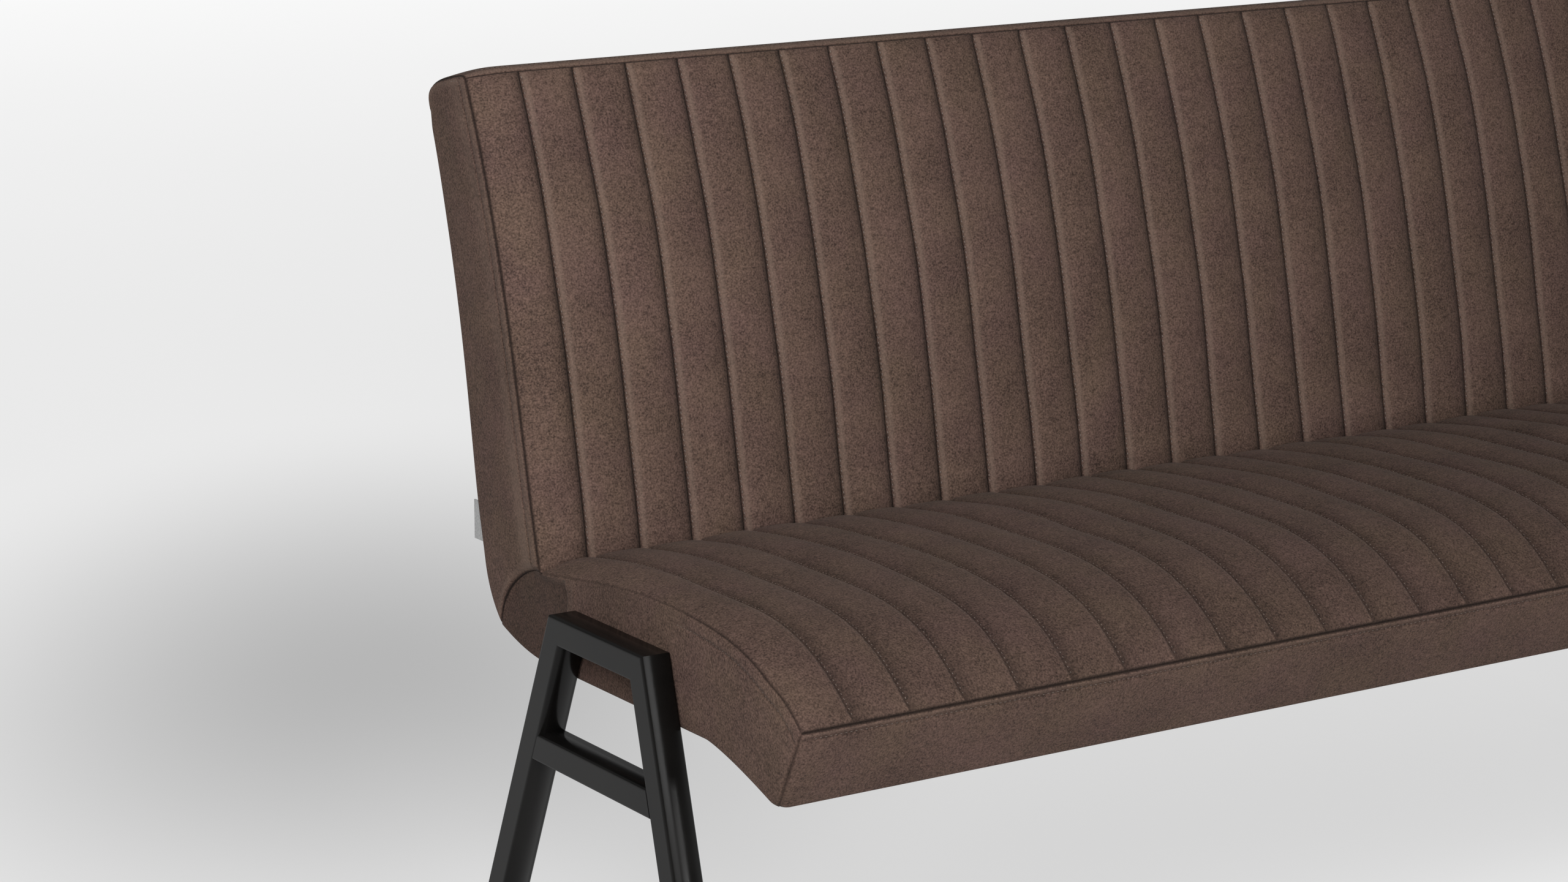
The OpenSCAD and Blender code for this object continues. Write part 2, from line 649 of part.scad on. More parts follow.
// Plastic glide: a sole under the tube's end and a plug inside the tube
module glide(side) {
  z0 = -crease_h;
  z1 = frame_floor_z;
  near = tube_wall + slide_gap;
  far = tube_s - near;
  side_plate(-frame_x, tube_w)
    polygon([leg_at(side, 0, z1), leg_at(side, tube_s, z1), leg_at(side, tube_s, z0), leg_at(side, 0, z0)]);
  side_plate(-frame_x + near, tube_w - 2 * near)
    polygon([leg_at(side, near, z1 + glide_plug_l), leg_at(side, far, z1 + glide_plug_l),
             leg_at(side, far, z1 - past), leg_at(side, near, z1 - past)]);
}
module glide_left_front() { color(frame_black) place() glide(-1); }
module glide_left_rear() { color(frame_black) place() glide(1); }
module glide_right_front() { color(frame_black) place() right_side() glide(-1); }
module glide_right_rear() { color(frame_black) place() right_side() glide(1); }

seat_cushion();
back_cushion();
seat_front_pad();
back_top_pad();
back_rear_panel();
seat_end_pad_left();
seat_end_pad_right();
back_end_pad_left();
back_end_pad_right();
bottom_cover();
sewn_tab();
seat_deck();
back_board();
side_rib_left();
side_rib_right();
inner_rib_1();
inner_rib_2();
inner_rib_3();
inner_rib_4();
front_rail();
rear_rail();
top_rail();
steel_rail_front();
steel_rail_rear();
end_plate_left();
end_plate_right();
frame_bolts();
bolt_washers();
rivet_nuts();
spacers();
left_top_bar();
left_cross_bar();
left_front_leg();
left_rear_leg();
right_top_bar();
right_cross_bar();
right_front_leg();
right_rear_leg();
glide_left_front();
glide_left_rear();
glide_right_front();
glide_right_rear();
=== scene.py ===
import math

import bpy
import numpy as np
from mathutils import Matrix, Vector


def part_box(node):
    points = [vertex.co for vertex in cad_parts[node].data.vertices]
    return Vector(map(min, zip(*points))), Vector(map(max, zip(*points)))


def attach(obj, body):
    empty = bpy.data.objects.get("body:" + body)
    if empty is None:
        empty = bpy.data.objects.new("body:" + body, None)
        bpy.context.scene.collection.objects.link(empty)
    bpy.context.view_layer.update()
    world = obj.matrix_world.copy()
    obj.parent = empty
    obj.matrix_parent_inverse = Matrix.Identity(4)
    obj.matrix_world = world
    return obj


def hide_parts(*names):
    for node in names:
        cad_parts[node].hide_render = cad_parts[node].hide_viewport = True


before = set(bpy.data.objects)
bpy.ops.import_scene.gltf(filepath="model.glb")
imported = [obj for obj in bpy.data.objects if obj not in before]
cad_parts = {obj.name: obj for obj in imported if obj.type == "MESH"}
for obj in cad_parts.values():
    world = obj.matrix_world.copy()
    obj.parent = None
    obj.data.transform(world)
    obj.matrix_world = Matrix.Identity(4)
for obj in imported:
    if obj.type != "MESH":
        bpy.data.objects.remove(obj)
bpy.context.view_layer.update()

mm = 0.001

# Side frames
# Two A-shaped frames of 31 by 26 mm steel tube, mitred and welded, with the welds ground flush.
# They are powder-coated in satin black, which leaves a very fine orange peel.


def new_finish(name, roughness, metallic=0.0):
    """A new finish with its tree of nodes and its shader."""
    finish = bpy.data.materials.new(name)
    finish.use_nodes = True
    tree = finish.node_tree
    shader = tree.nodes["Principled BSDF"]
    shader.inputs["Roughness"].default_value = roughness
    shader.inputs["Metallic"].default_value = metallic
    return finish, tree, shader


def grain(tree, scale, detail=2.0, stretch=(1, 1, 1)):
    """Noise fixed to the piece, with scale features to a metre."""
    place = tree.nodes.new("ShaderNodeTexCoord")
    spread = tree.nodes.new("ShaderNodeMapping")
    spread.inputs["Scale"].default_value = stretch
    noise = tree.nodes.new("ShaderNodeTexNoise")
    noise.inputs["Scale"].default_value = scale
    noise.inputs["Detail"].default_value = detail
    tree.links.new(place.outputs["Object"], spread.inputs["Vector"])
    tree.links.new(spread.outputs["Vector"], noise.inputs["Vector"])
    return noise.outputs["Fac"]


def tones(tree, factor, dark, light, start=0.3, end=0.7):
    """Colour that runs from dark to light with the factor."""
    ramp = tree.nodes.new("ShaderNodeValToRGB")
    ramp.color_ramp.elements[0].position = start
    ramp.color_ramp.elements[1].position = end
    ramp.color_ramp.elements[0].color = (*dark, 1)
    ramp.color_ramp.elements[1].color = (*light, 1)
    tree.links.new(factor, ramp.inputs["Fac"])
    return ramp.outputs["Color"]


def span(tree, factor, low, high):
    """The factor's middle range spread from low to high."""
    change = tree.nodes.new("ShaderNodeMapRange")
    change.inputs["From Min"].default_value = 0.3
    change.inputs["From Max"].default_value = 0.7
    change.inputs["To Min"].default_value = low
    change.inputs["To Max"].default_value = high
    tree.links.new(factor, change.inputs["Value"])
    return change.outputs["Result"]


def sum_of(tree, operation, *values):
    """One sum on numbers or on what other nodes put out."""
    step = tree.nodes.new("ShaderNodeMath")
    step.operation = operation
    for socket, value in zip(step.inputs, values):
        if isinstance(value, (int, float)):
            socket.default_value = value
        else:
            tree.links.new(value, socket)
    return step.outputs[0]


def relief(tree, shader, factor, depth, strength=1.0, under=None):
    """Fine relief of the given depth, laid over an earlier one."""
    bump = tree.nodes.new("ShaderNodeBump")
    bump.inputs["Strength"].default_value = strength
    bump.inputs["Distance"].default_value = depth
    tree.links.new(factor, bump.inputs["Height"])
    if under:
        tree.links.new(under, bump.inputs["Normal"])
    tree.links.new(bump.outputs["Normal"], shader.inputs["Normal"])
    return bump.outputs["Normal"]


def tube_crown(tree, middle, half):
    """How rolled tube faces fall off from the middle of the frame's width to its edges, 0 to -1."""
    place = tree.nodes.new("ShaderNodeTexCoord")
    apart = tree.nodes.new("ShaderNodeSeparateXYZ")
    tree.links.new(place.outputs["Object"], apart.inputs["Vector"])
    out = sum_of(tree, "ABSOLUTE", apart.outputs["X"])
    share = sum_of(tree, "DIVIDE", sum_of(tree, "SUBTRACT", out, middle), half)
    return sum_of(tree, "MULTIPLY", sum_of(tree, "MULTIPLY", share, share), -1.0)


def vary(tree, shader, factor, dark, light, smooth=None, rough=None):
    """Colour, and roughness where it is given, that change over the piece with the factor."""
    tree.links.new(tones(tree, factor, dark, light), shader.inputs["Base Color"])
    if smooth is not None:
        tree.links.new(span(tree, factor, smooth, rough), shader.inputs["Roughness"])


def dress(finish, *part_names):
    """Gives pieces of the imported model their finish."""
    for name in part_names:
        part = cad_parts[name]
        part.data.materials.clear()
        part.data.materials.append(finish)


powder, tree, shader = new_finish("satin_black_powder_coat", 0.34)
shader.inputs["Specular IOR Level"].default_value = 0.13
haze = grain(tree, 14, 3)
vary(tree, shader, haze, (0.0034, 0.0031, 0.0029), (0.0062, 0.0057, 0.0053), 0.2, 0.27)
length, spacer_t, tube_w = 1500 * mm, 2 * mm, 31 * mm
face_crown, orange_peel = 4.8 * mm, 0.05 * mm
fall_off = tube_crown(tree, length / 2 + spacer_t + tube_w / 2, tube_w / 2)
crowned = relief(tree, shader, fall_off, face_crown)
relief(tree, shader, grain(tree, 520), orange_peel, 0.5, crowned)
dress(powder, *[f"{side}_{part}" for side in ("left", "right")
                for part in ("top_bar", "cross_bar", "front_leg", "rear_leg")])

# Glides
# Black polyethylene plugs with a flat sole, pushed into the open ends of the legs. The thin nylon
# spacers on the bolts between the side frames and the seat have the same finish.

glide_plastic, tree, shader = new_finish("black_glide_plastic", 0.55)
scuff = grain(tree, 90, 4)
vary(tree, shader, scuff, (0.014, 0.014, 0.015), (0.032, 0.032, 0.033), 0.45, 0.68)
relief(tree, shader, grain(tree, 900), 0.08 * mm, 0.5)
dress(glide_plastic, "glide_left_front", "glide_left_rear", "glide_right_front", "glide_right_rear", "spacers")

# Steel rails and fasteners
# Black steel rails with end plates run through the ribs. Zinc-plated bolts, washers and rivet nuts
# hold the side frames to them.

mill_steel, tree, shader = new_finish("black_mill_steel", 0.5, 0.6)
mill_marks = grain(tree, 40, 5, (0.3, 1, 1))
vary(tree, shader, mill_marks, (0.018, 0.018, 0.020), (0.050, 0.048, 0.047), 0.4, 0.65)
relief(tree, shader, grain(tree, 600), 0.05 * mm, 0.5)
dress(mill_steel, "steel_rail_front", "steel_rail_rear", "end_plate_left", "end_plate_right")

zinc, tree, shader = new_finish("bright_zinc", 0.35, 0.95)
crystals = grain(tree, 350, 3)
vary(tree, shader, crystals, (0.42, 0.43, 0.45), (0.62, 0.63, 0.64), 0.28, 0.45)
relief(tree, shader, crystals, 0.03 * mm, 0.4)
dress(zinc, "frame_bolts", "bolt_washers", "rivet_nuts")

# Plywood
# Ribs, rails, the bent seat deck and the bent back board, in sanded birch plywood. They are glued
# together into one stiff shell under the foam.

plywood, tree, shader = new_finish("birch_plywood", 0.6)
figure = grain(tree, 26, 6, (0.25, 1, 6))
vary(tree, shader, figure, (0.46, 0.31, 0.17), (0.66, 0.50, 0.31), 0.52, 0.7)
relief(tree, shader, figure, 0.1 * mm, 0.4)
dress(plywood, "seat_deck", "back_board", "front_rail", "rear_rail", "top_rail", "side_rib_left", "side_rib_right",
      "inner_rib_1", "inner_rib_2", "inner_rib_3", "inner_rib_4")

# Seat cushion
# A foam slab under brown brushed microfibre, sewn through to its backing in channels that run from the
# crease to the front. Its edges roll over into the seams of the bands, and it tucks in at the crease.

cover, tree, shader = new_finish("brown_microfibre", 0.82)
nap = grain(tree, 560, 3)
brushing = grain(tree, 150, 3)
clouds = grain(tree, 15, 4)


def blend_of(tree, factor, first, second):
    """Mixture of two colours, which may be outputs of other nodes."""
    mix = tree.nodes.new("ShaderNodeMix")
    mix.data_type = "RGBA"
    tree.links.new(factor, mix.inputs["Factor"])
    for socket, colour in ((mix.inputs["A"], first), (mix.inputs["B"], second)):
        if isinstance(colour, tuple):
            socket.default_value = (*colour, 1)
        else:
            tree.links.new(colour, socket)
    return mix.outputs["Result"]


nap_share, brush_share, cloud_share = 0.68, 0.16, 0.16
mottle = sum_of(tree, "MULTIPLY", nap, nap_share)
mottle = sum_of(tree, "MULTIPLY_ADD", brushing, brush_share, mottle)
mottle = sum_of(tree, "MULTIPLY_ADD", clouds, cloud_share, mottle)
mottle_ends = 0.34, 0.66
olive = tones(tree, mottle, (0.032, 0.0200, 0.0145), (0.150, 0.0960, 0.0710), *mottle_ends)
plum = tones(tree, mottle, (0.031, 0.0183, 0.0150), (0.147, 0.0890, 0.0735), *mottle_ends)
shades = blend_of(tree, span(tree, grain(tree, 16, 4), 0, 1), olive, plum)
# Painted shade and painted highlight: a mesh attribute blends the cover towards a near-black brown where shade falls
# in seams, grooves and recesses, and towards a pale tone where it faces the light.
painted_shade_tone, painted_highlight_tone = (0.0080, 0.0048, 0.0038), (0.185, 0.1290, 0.1010)
painted_shading_marks = tree.nodes.new("ShaderNodeAttribute")
painted_shading_marks.attribute_name = "painted_shading"
painted_highlight_marks = sum_of(tree, "MULTIPLY", painted_shading_marks.outputs["Fac"], -1.0)
shades = blend_of(tree, painted_shading_marks.outputs["Fac"], shades, painted_shade_tone)
shades = blend_of(tree, painted_highlight_marks, shades, painted_highlight_tone)
tree.links.new(shades, shader.inputs["Base Color"])
tree.links.new(span(tree, brushing, 0.76, 0.9), shader.inputs["Roughness"])
shader.inputs["Specular IOR Level"].default_value = 0.13
shader.inputs["Sheen Weight"].default_value = 0.04
shader.inputs["Sheen Roughness"].default_value = 0.5
shader.inputs["Sheen Tint"].default_value = (0.80, 0.72, 0.66, 1)
relief(tree, shader, nap, 0.5 * mm, 0.8)

crease_y, crease_z = 124.6 * mm, 458 * mm
channel_w, end_channel_w = 58 * mm, 54 * mm
seat_d, seat_rise, crown_d, seat_drop = 446 * mm, 18 * mm, 200 * mm, 48 * mm
stitch_pitch = 5.2 * mm
stitch_third = stitch_pitch / 3
seam_sink = 1.7 * mm
seam_turn = math.radians(80)
seam_mark = 0.9 * mm


def rolled(turn, depth, steps=6):
    """Insets and drops of an edge that rolls over by turn, from the seam inwards."""
    radius = depth / (1 - math.cos(turn))
    angle = np.linspace(turn, 0, steps)
    return depth + radius * (math.sin(turn) - np.sin(angle)), radius * (1 - np.cos(angle))


def rolled_drop(inset, turn, depth):
    """Drop of the same edge at any inset."""
    radius = depth / (1 - math.cos(turn))
    way = np.clip(depth + radius * math.sin(turn) - inset, 0, radius * math.sin(turn))
    return radius - np.sqrt(radius ** 2 - way ** 2)


def face_steps(width, near, far, marks):
    """Places and drops right across a face, with marks as its places between the two rolled edges."""
    clear = 0.4 * mm
    flat = marks[(marks > near[0][-1] + clear) & (marks < width - far[0][-1] - clear)]
    return (np.concatenate([near[0], flat, width - far[0][::-1]]),
            np.concatenate([near[1], 0 * flat, far[1][::-1]]))


def both_drops(first, second, depth=seam_sink):
    """Drop where two rolled edges meet, level along the corner."""
    return first + second - first * second / depth


def lengths_of(points):
    """Distance of each point along its line."""
    return np.concatenate([[0], np.cumsum(np.linalg.norm(np.diff(points, axis=0), axis=1))])


def points_where(values, measure, points):
    """Points of a line where a measure of it, such as its length, has the given values."""
    return np.stack([np.interp(values, measure, column) for column in points.T], -1)


def line_of(points, side):
    """A line of the side section with its lengths, its run and its outward normals on one side of it."""
    lengths = lengths_of(points)
    run = np.gradient(points, lengths, axis=0)
    run /= np.linalg.norm(run, axis=1)[:, None]
    return points, lengths, run, side * np.stack([-run[:, 1], run[:, 0]], 1)


def along_line(line, distance):
    """Points and normals at distances along a line, which runs on straight past its ends."""
    points, lengths, run, normals = line
    inside = np.clip(distance, 0, lengths[-1])
    at, way, normal = (points_where(inside, lengths, each) for each in (points, run, normals))
    return at + (distance - inside)[:, None] * way, normal


def to_ends(x):
    """Distance to the nearer end of the seat."""
    return np.minimum(x, length - x)


def fade(distance, reach):
    """Share that grows from 0 at a seam to 1 at the reach."""
    return np.clip(distance / reach, 0, 1)


def bell(off, half_w):
    """Share that is 1 in the middle of a seam or a fold and falls off to both sides."""
    return np.exp(-(off / half_w) ** 2)


def in_place(x, section):
    """Points of the side section, which is measured from the crease, at x from the sofa's left end."""
    x = np.broadcast_to(x, section.shape[:-1])
    return np.stack([x - length / 2, section[..., 0] + crease_y, section[..., 1] + crease_z], -1)


def raised(x, section, normal, height):
    """Cover points that stand height above a section line, for every x."""
    return in_place(x[None, :], section[:, None, :] + height[..., None] * normal[:, None, :])


def inward_of(normal, x=None):
    """Direction into the foam for every row of a section line, slanting in under a cushion's ends."""
    most_slant, slant_reach = 1.6, 27 * mm
    deep = -np.concatenate([0 * normal[:, :1], normal], 1)[:, None, :]
    if x is not None:
        deep = np.repeat(deep, len(x), 1)
        slant = np.clip(most_slant - to_ends(x) / slant_reach, 0, None)
        deep[..., 0] = np.where(x < length / 2, slant, -slant)
    return deep


def waves(x, s, size, seed, count=7, level=2.6):
    """Slow unevenness of about 1 across the cover."""
    chance = np.random.default_rng(seed)
    total = np.zeros(np.broadcast(x, s).shape)
    for _ in range(count):
        angle, phase = chance.uniform(0, math.tau, 2)
        pace = math.tau / (size * chance.uniform(0.7, 1.6))
        total += np.sin(pace * (x * math.cos(angle) + s * math.sin(angle)) + phase) / level
    return total


seams = end_channel_w + channel_w * np.arange(round((length - 2 * end_channel_w) / channel_w) + 1)
beside = np.array([0.8, 1.9, 3.6, 8, 16, 29]) * mm
channel_marks = np.unique(np.round((seams[:, None] + np.concatenate([-beside, [0], beside])).ravel(), 6))


def painted_highlight_line(distance, share, reach=3 * mm):
    """Share of painted highlight on the shoulder beside a seam."""
    return share * bell(distance - reach, reach)


def cover_painted_shading(x, s, s_end, lean, reach=4.5 * mm, share=0.45):
    """Painted shade in the seams of a cover, wider on the side it leans to, and a painted highlight on the other
    side.
    """
    steep_side, edge_w = 1.1 * mm, 2 * mm
    off = -lean * (x[None, :] - seams[:, None])
    valley_shade = np.exp(-np.where(off > 0, off / reach, -off / steep_side) ** 1.2).max(0)
    painted_highlight = painted_highlight_line(np.where(off < 0, -off, length).min(0), share)
    across = (np.maximum(valley_shade, 0.75 * bell(to_ends(x) - seam_sink, seam_mark)) - painted_highlight)[None, :]
    to_edge = (np.abs(s - s_end) - seam_sink)[:, None]
    return np.where(to_edge < edge_w, np.maximum(across, bell(to_edge, seam_mark)), across)


def end_fall(x, reach=end_channel_w):
    """Share of the fall towards a cushion's ends: all of it at the ends, none from the reach on."""
    return (1 - fade(to_ends(x), reach)) ** 2


def channels(x, s, crown, groove, seed):
    """Height of a channelled cover: arched between its seams and pulled in by every stitch."""
    shoulder_w, valley_w = 4.5 * mm, 1.5 * mm
    hole_depth, hole_w = 0.8 * mm, 2.4 * mm
    gather_depth, gather_start, gather_reach = 0.25 * mm, 1.2 * mm, 9 * mm
    edges = np.concatenate([[0], seams, [length]])
    to_edge = np.abs(x[None, :] - edges[:, None]).min(0)
    arch = 0.7 * (1 - np.exp(-to_edge / shoulder_w)) + 0.3 * (1 - (1 - fade(2 * to_edge, channel_w)) ** 2)
    nearest = np.abs(x[None, :] - seams[:, None]).argmin(0)
    off = x - seams[nearest]
    d = np.abs(off)
    chance = np.random.default_rng(seed)
    gathers = np.zeros((len(s), len(x)))
    for k in range(len(seams)):
        for flank in (-1, 1):
            here = (nearest == k) & (off * flank >= 0)
            phases, lengths = chance.uniform(0, math.tau, 4), chance.uniform(7, 26, 4) * mm
            gathers[:, here] = sum(np.sin(math.tau * s / p + f) for p, f in zip(lengths, phases))[:, None] / 2
    hole = 0.5 + 0.5 * np.cos(math.tau * s / stitch_pitch)[:, None]
    rise = crown * arch - groove * np.exp(-d / valley_w)
    return (rise[None, :] - hole_depth * np.exp(-d / hole_w) * hole
            + gather_depth * np.exp(-d / gather_reach) * (1 - np.exp(-d / gather_start)) * gathers)


def shell_of(name, grid, inward, thickness, painted_shading=None):
    """Closed mesh from rows of cover points, with turned-in edges and a plain back."""
    rows, cols = grid.shape[:2]
    index = np.arange(rows * cols).reshape(rows, cols)
    rim = np.concatenate([index[0], index[1:, -1], index[-1, -2::-1], index[-2:0:-1, 0]])
    front = grid.reshape(-1, 3)
    deep = np.broadcast_to(inward, grid.shape).reshape(-1, 3)
    points = np.concatenate([front, front[rim] + thickness * deep[rim]])
    turned = dict(zip(rim.tolist(), range(rows * cols, len(points))))
    faces = np.stack([index[:-1, :-1], index[:-1, 1:], index[1:, 1:], index[1:, :-1]], -1).reshape(-1, 4).tolist()
    ring = rim.tolist()
    faces += [[b, a, turned[a], turned[b]] for a, b in zip(ring, ring[1:] + ring[:1])]
    for r in range(rows - 1):
        upper = index[0] if r == 0 else index[r, [0, -1]]
        lower = index[-1] if r == rows - 2 else index[r + 1, [0, -1]]
        faces.append([turned[i] for i in [*upper[::-1], *lower]])
    r, c = rows // 2, cols // 2
    out = np.cross(grid[r, c + 1] - grid[r, c], grid[r + 1, c] - grid[r, c])
    if np.dot(out, np.broadcast_to(inward, grid.shape)[r, c]) > 0:
        faces = [face[::-1] for face in faces]
    mesh = bpy.data.meshes.new(name)
    mesh.from_pydata(points.tolist(), [], faces)
    # Painted shading: shares of painted shade (up to 1) and painted highlight (down to -1) go on the cover points,
    # with full painted shade on the turned-in edges and back.
    if painted_shading is not None:
        marks = np.ones(len(points))
        marks[:rows * cols] = np.clip(np.broadcast_to(painted_shading, (rows, cols)), -1, 1).ravel()
        mesh.attributes.new("painted_shading", "FLOAT", "POINT").data.foreach_set("value", marks)
    return mesh


def fit_piece(mesh, finish, slot_name, *part_names, fill=None):
    """Puts a finished mesh into the sofa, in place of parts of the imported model."""
    mesh.shade_smooth()
    mesh.set_sharp_from_angle(angle=math.radians(60))
    mesh.materials.append(finish)
    piece = bpy.data.objects.new(mesh.name, mesh)
    bpy.context.scene.collection.objects.link(piece)
    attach(piece, "root")
    if part_names:
        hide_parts(*part_names)
    return piece


def upholster(name, grid, inward, thickness, painted_shading, part, fill):
    """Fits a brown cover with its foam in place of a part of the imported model."""
    fit_piece(shell_of(name, grid, inward, thickness, painted_shading), cover, "cover", part, fill=fill)


def foam_swell(name, grid, inward, cols, held_cols):
    """How far the foam pushes the cover out between its seams, by cloth simulation."""
    pad_t, most, row_step, last_step = 30 * mm, 5 * mm, 5, 20
    rows = np.unique(np.concatenate([np.arange(0, grid.shape[0], row_step), [grid.shape[0] - 1]]))
    coarse = grid[np.ix_(rows, cols)]
    deep = np.broadcast_to(inward, grid.shape)[np.ix_(rows, cols)]
    mesh = shell_of(name + "_trial", coarse, deep, pad_t)
    trial = bpy.data.objects.new(name + "_trial", mesh)
    bpy.context.scene.collection.objects.link(trial)
    count = coarse.shape[0] * coarse.shape[1]
    held = np.ones(coarse.shape[:2], bool)
    held[2:-2, 2:-2] = np.isin(cols, held_cols)[None, 2:-2]
    group = trial.vertex_groups.new(name="held")
    group.add(np.flatnonzero(held.ravel()).tolist() + list(range(count, len(mesh.vertices))), 1.0, "REPLACE")
    cloth = trial.modifiers.new("foam", "CLOTH")
    cloth.settings.quality = 6
    cloth.settings.mass = 0.3
    cloth.settings.tension_stiffness = 18
    cloth.settings.compression_stiffness = 18
    cloth.settings.bending_stiffness = 1.5
    cloth.settings.use_pressure = True
    cloth.settings.uniform_pressure_force = 4
    cloth.settings.vertex_group_mass = "held"
    cloth.settings.effector_weights.gravity = 0
    cloth.point_cache.frame_start = 1
    cloth.point_cache.frame_end = last_step
    for step in range(1, last_step + 1):
        bpy.context.scene.frame_set(step)
    swollen = trial.evaluated_get(bpy.context.evaluated_depsgraph_get()).to_mesh()
    after = np.empty(3 * len(swollen.vertices))
    swollen.vertices.foreach_get("co", after)
    moved = after.reshape(-1, 3)[:count].reshape(coarse.shape) - coarse
    bpy.data.objects.remove(trial)
    bpy.context.scene.frame_set(1)
    outward = np.clip(-np.sum(moved * deep, -1), -most / 4, most)
    by_row = np.stack([np.interp(np.arange(grid.shape[1]), cols, line) for line in outward])
    return np.stack([np.interp(np.arange(grid.shape[0]), rows, line) for line in by_row.T], 1)


thread, tree, shader = new_finish("brown_thread", 0.5)
twist = grain(tree, 1800, 1, (1, 1, 0.5))
vary(tree, shader, twist, (0.095, 0.068, 0.054), (0.19, 0.15, 0.125))
relief(tree, shader, twist, 0.1 * mm, 0.6)


def sewn(name, rows_of_stitches, wide=0.75 * mm, long=3.4 * mm, slant=0.16, sunk=0.25 * mm):
    """Thread in one stitch after another along each row of points, dipping into the cover at both ends."""
    rings = ((-0.5, 0.3, -0.5), (-0.33, 0.9, 0), (0, 1, 0.25), (0.33, 0.9, 0), (0.5, 0.3, -0.5))
    sides = 5
    last_ring = sides * (len(rings) - 1)
    verts, faces = [], []
    for points, normals in rows_of_stitches:
        for at, ahead, behind, normal in zip(points[1:-1], points[2:], points[:-2], normals[1:-1]):
            way = (ahead - behind) / np.linalg.norm(ahead - behind)
            way = way + slant * np.cross(normal, way)
            way /= np.linalg.norm(way)
            across = np.cross(normal, way)
            base = len(verts)
            for place, girth, lift in rings:
                for angle in (np.arange(sides) + 0.5) * math.tau / sides:
                    up = wide * (lift + 0.5 * girth * math.sin(angle)) - sunk
                    aside = 0.5 * wide * girth * math.cos(angle)
                    verts.append(at + place * long * way + up * normal + aside * across)
            for ring in range(base, base + last_ring, sides):
                faces += [[ring + k, ring + (k + 1) % sides, ring + sides + (k + 1) % sides, ring + sides + k]
                          for k in range(sides)]
            faces.append([base + k for k in range(sides - 1, -1, -1)])
            faces.append([base + last_ring + k for k in range(sides)])
    mesh = bpy.data.meshes.new(name)
    mesh.from_pydata(np.array(verts).tolist(), [], faces)
    fit_piece(mesh, thread, "cover")


def on_cover(grid, s, x, s_at, x_at):
    """Points of a cover at distances s_at and x_at, with its outward normals there."""
    def look(s_at, x_at):
        r = np.clip(np.searchsorted(s, s_at) - 1, 0, len(s) - 2)
        c = np.clip(np.searchsorted(x, x_at) - 1, 0, len(x) - 2)
        f = ((s_at - s[r]) / (s[r + 1] - s[r]))[..., None]
        g = ((x_at - x[c]) / (x[c + 1] - x[c]))[..., None]
        upper = (1 - g) * grid[r, c] + g * grid[r, c + 1]
        lower = (1 - g) * grid[r + 1, c] + g * grid[r + 1, c + 1]
        return (1 - f) * upper + f * lower

    reach = 0.7 * mm
    down = look(s_at + reach, x_at) - look(s_at - reach, x_at)
    normal = np.cross(down, look(s_at, x_at + reach) - look(s_at, x_at - reach))
    return look(s_at, x_at), normal / np.linalg.norm(normal, axis=-1)[..., None]


def channel_stitches(name, grid, s, x, start, end, sunk):
    """One thread down every channel seam, beside the bottom of its valley."""
    beside_seam = 1.3 * mm
    s_at = (np.arange(round(start / stitch_pitch), int(end / stitch_pitch)) + 0.5) * stitch_pitch
    threads = [on_cover(grid, s, x, s_at, np.full(len(s_at), seam + beside_seam)) for seam in seams]
    sewn(name, threads, sunk=sunk)


def seat_height(u):
    """Height of the seat's cover above the crease, u forward of it."""
    rear = seat_rise * (1 - (1 - u / crown_d) ** 2)
    front = seat_rise - (seat_rise + seat_drop) * (np.clip(u - crown_d, 0, None) / (seat_d - crown_d)) ** 4
    return np.where(u < crown_d, rear, front)


tuck, tuck_turn, tuck_at = 7 * mm, math.radians(75), 4 * mm
seam_roll = rolled(seam_turn, seam_sink)
seat_edge = np.linspace(0, seat_d, 400)
seat_line = line_of(np.stack([-seat_edge, seat_height(seat_edge)], 1), -1)
seat_length = seat_line[1][-1]
x, drop_x = face_steps(length, seam_roll, seam_roll, channel_marks)
seat_s, drop_s = face_steps(seat_length + tuck_at, rolled(tuck_turn, tuck), seam_roll,
                            np.arange(0, seat_length, stitch_third) + tuck_at)
seat_s = seat_s - tuck_at
section, normal = along_line(seat_line, seat_s)
end_reach, front_reach, crease_reach = 8 * mm, 12 * mm, 12 * mm
end_fade = fade(to_ends(x) - seam_sink, end_reach)[None, :]
to_front = seat_length - seat_s
seat_fade = (fade(to_front - seam_sink, front_reach) * fade(seat_s + 2 * mm, crease_reach))[:, None]
seat_crown, seat_groove = 3 * mm, 1.2 * mm
seat_unevenness, seat_wave = 0.7 * mm, 150 * mm
height = channels(x, seat_s, seat_crown, seat_groove, 3)
height = height + seat_unevenness * waves(x[None, :], seat_s[:, None], seat_wave, 5)
height = height * seat_fade * end_fade

rear_fall, front_fall, least_fall = 5.5 * mm, 4 * mm, 3 * mm
firm_at, firm_run = 225 * mm, 340 * mm
seat_fall = np.where(section[:, 0] > -firm_at, rear_fall, front_fall)
seat_fall = seat_fall * np.sin(math.pi * (-section[:, 0] - firm_at) / firm_run) ** 2
seat_fall = (least_fall + seat_fall) * fade(to_front, 60 * mm) ** 2
height = height - seat_fall[:, None] * end_fall(x)[None, :]
inside_end = fade(to_ends(x) - seam_sink, 12 * mm)[None, :]
rear_half = (seat_s < seat_length / 2)[:, None]
drop_s = np.where(rear_half, drop_s[:, None] * inside_end, drop_s[:, None])
height = height - both_drops(drop_s, drop_x[None, :], np.where(rear_half, tuck, seam_sink))

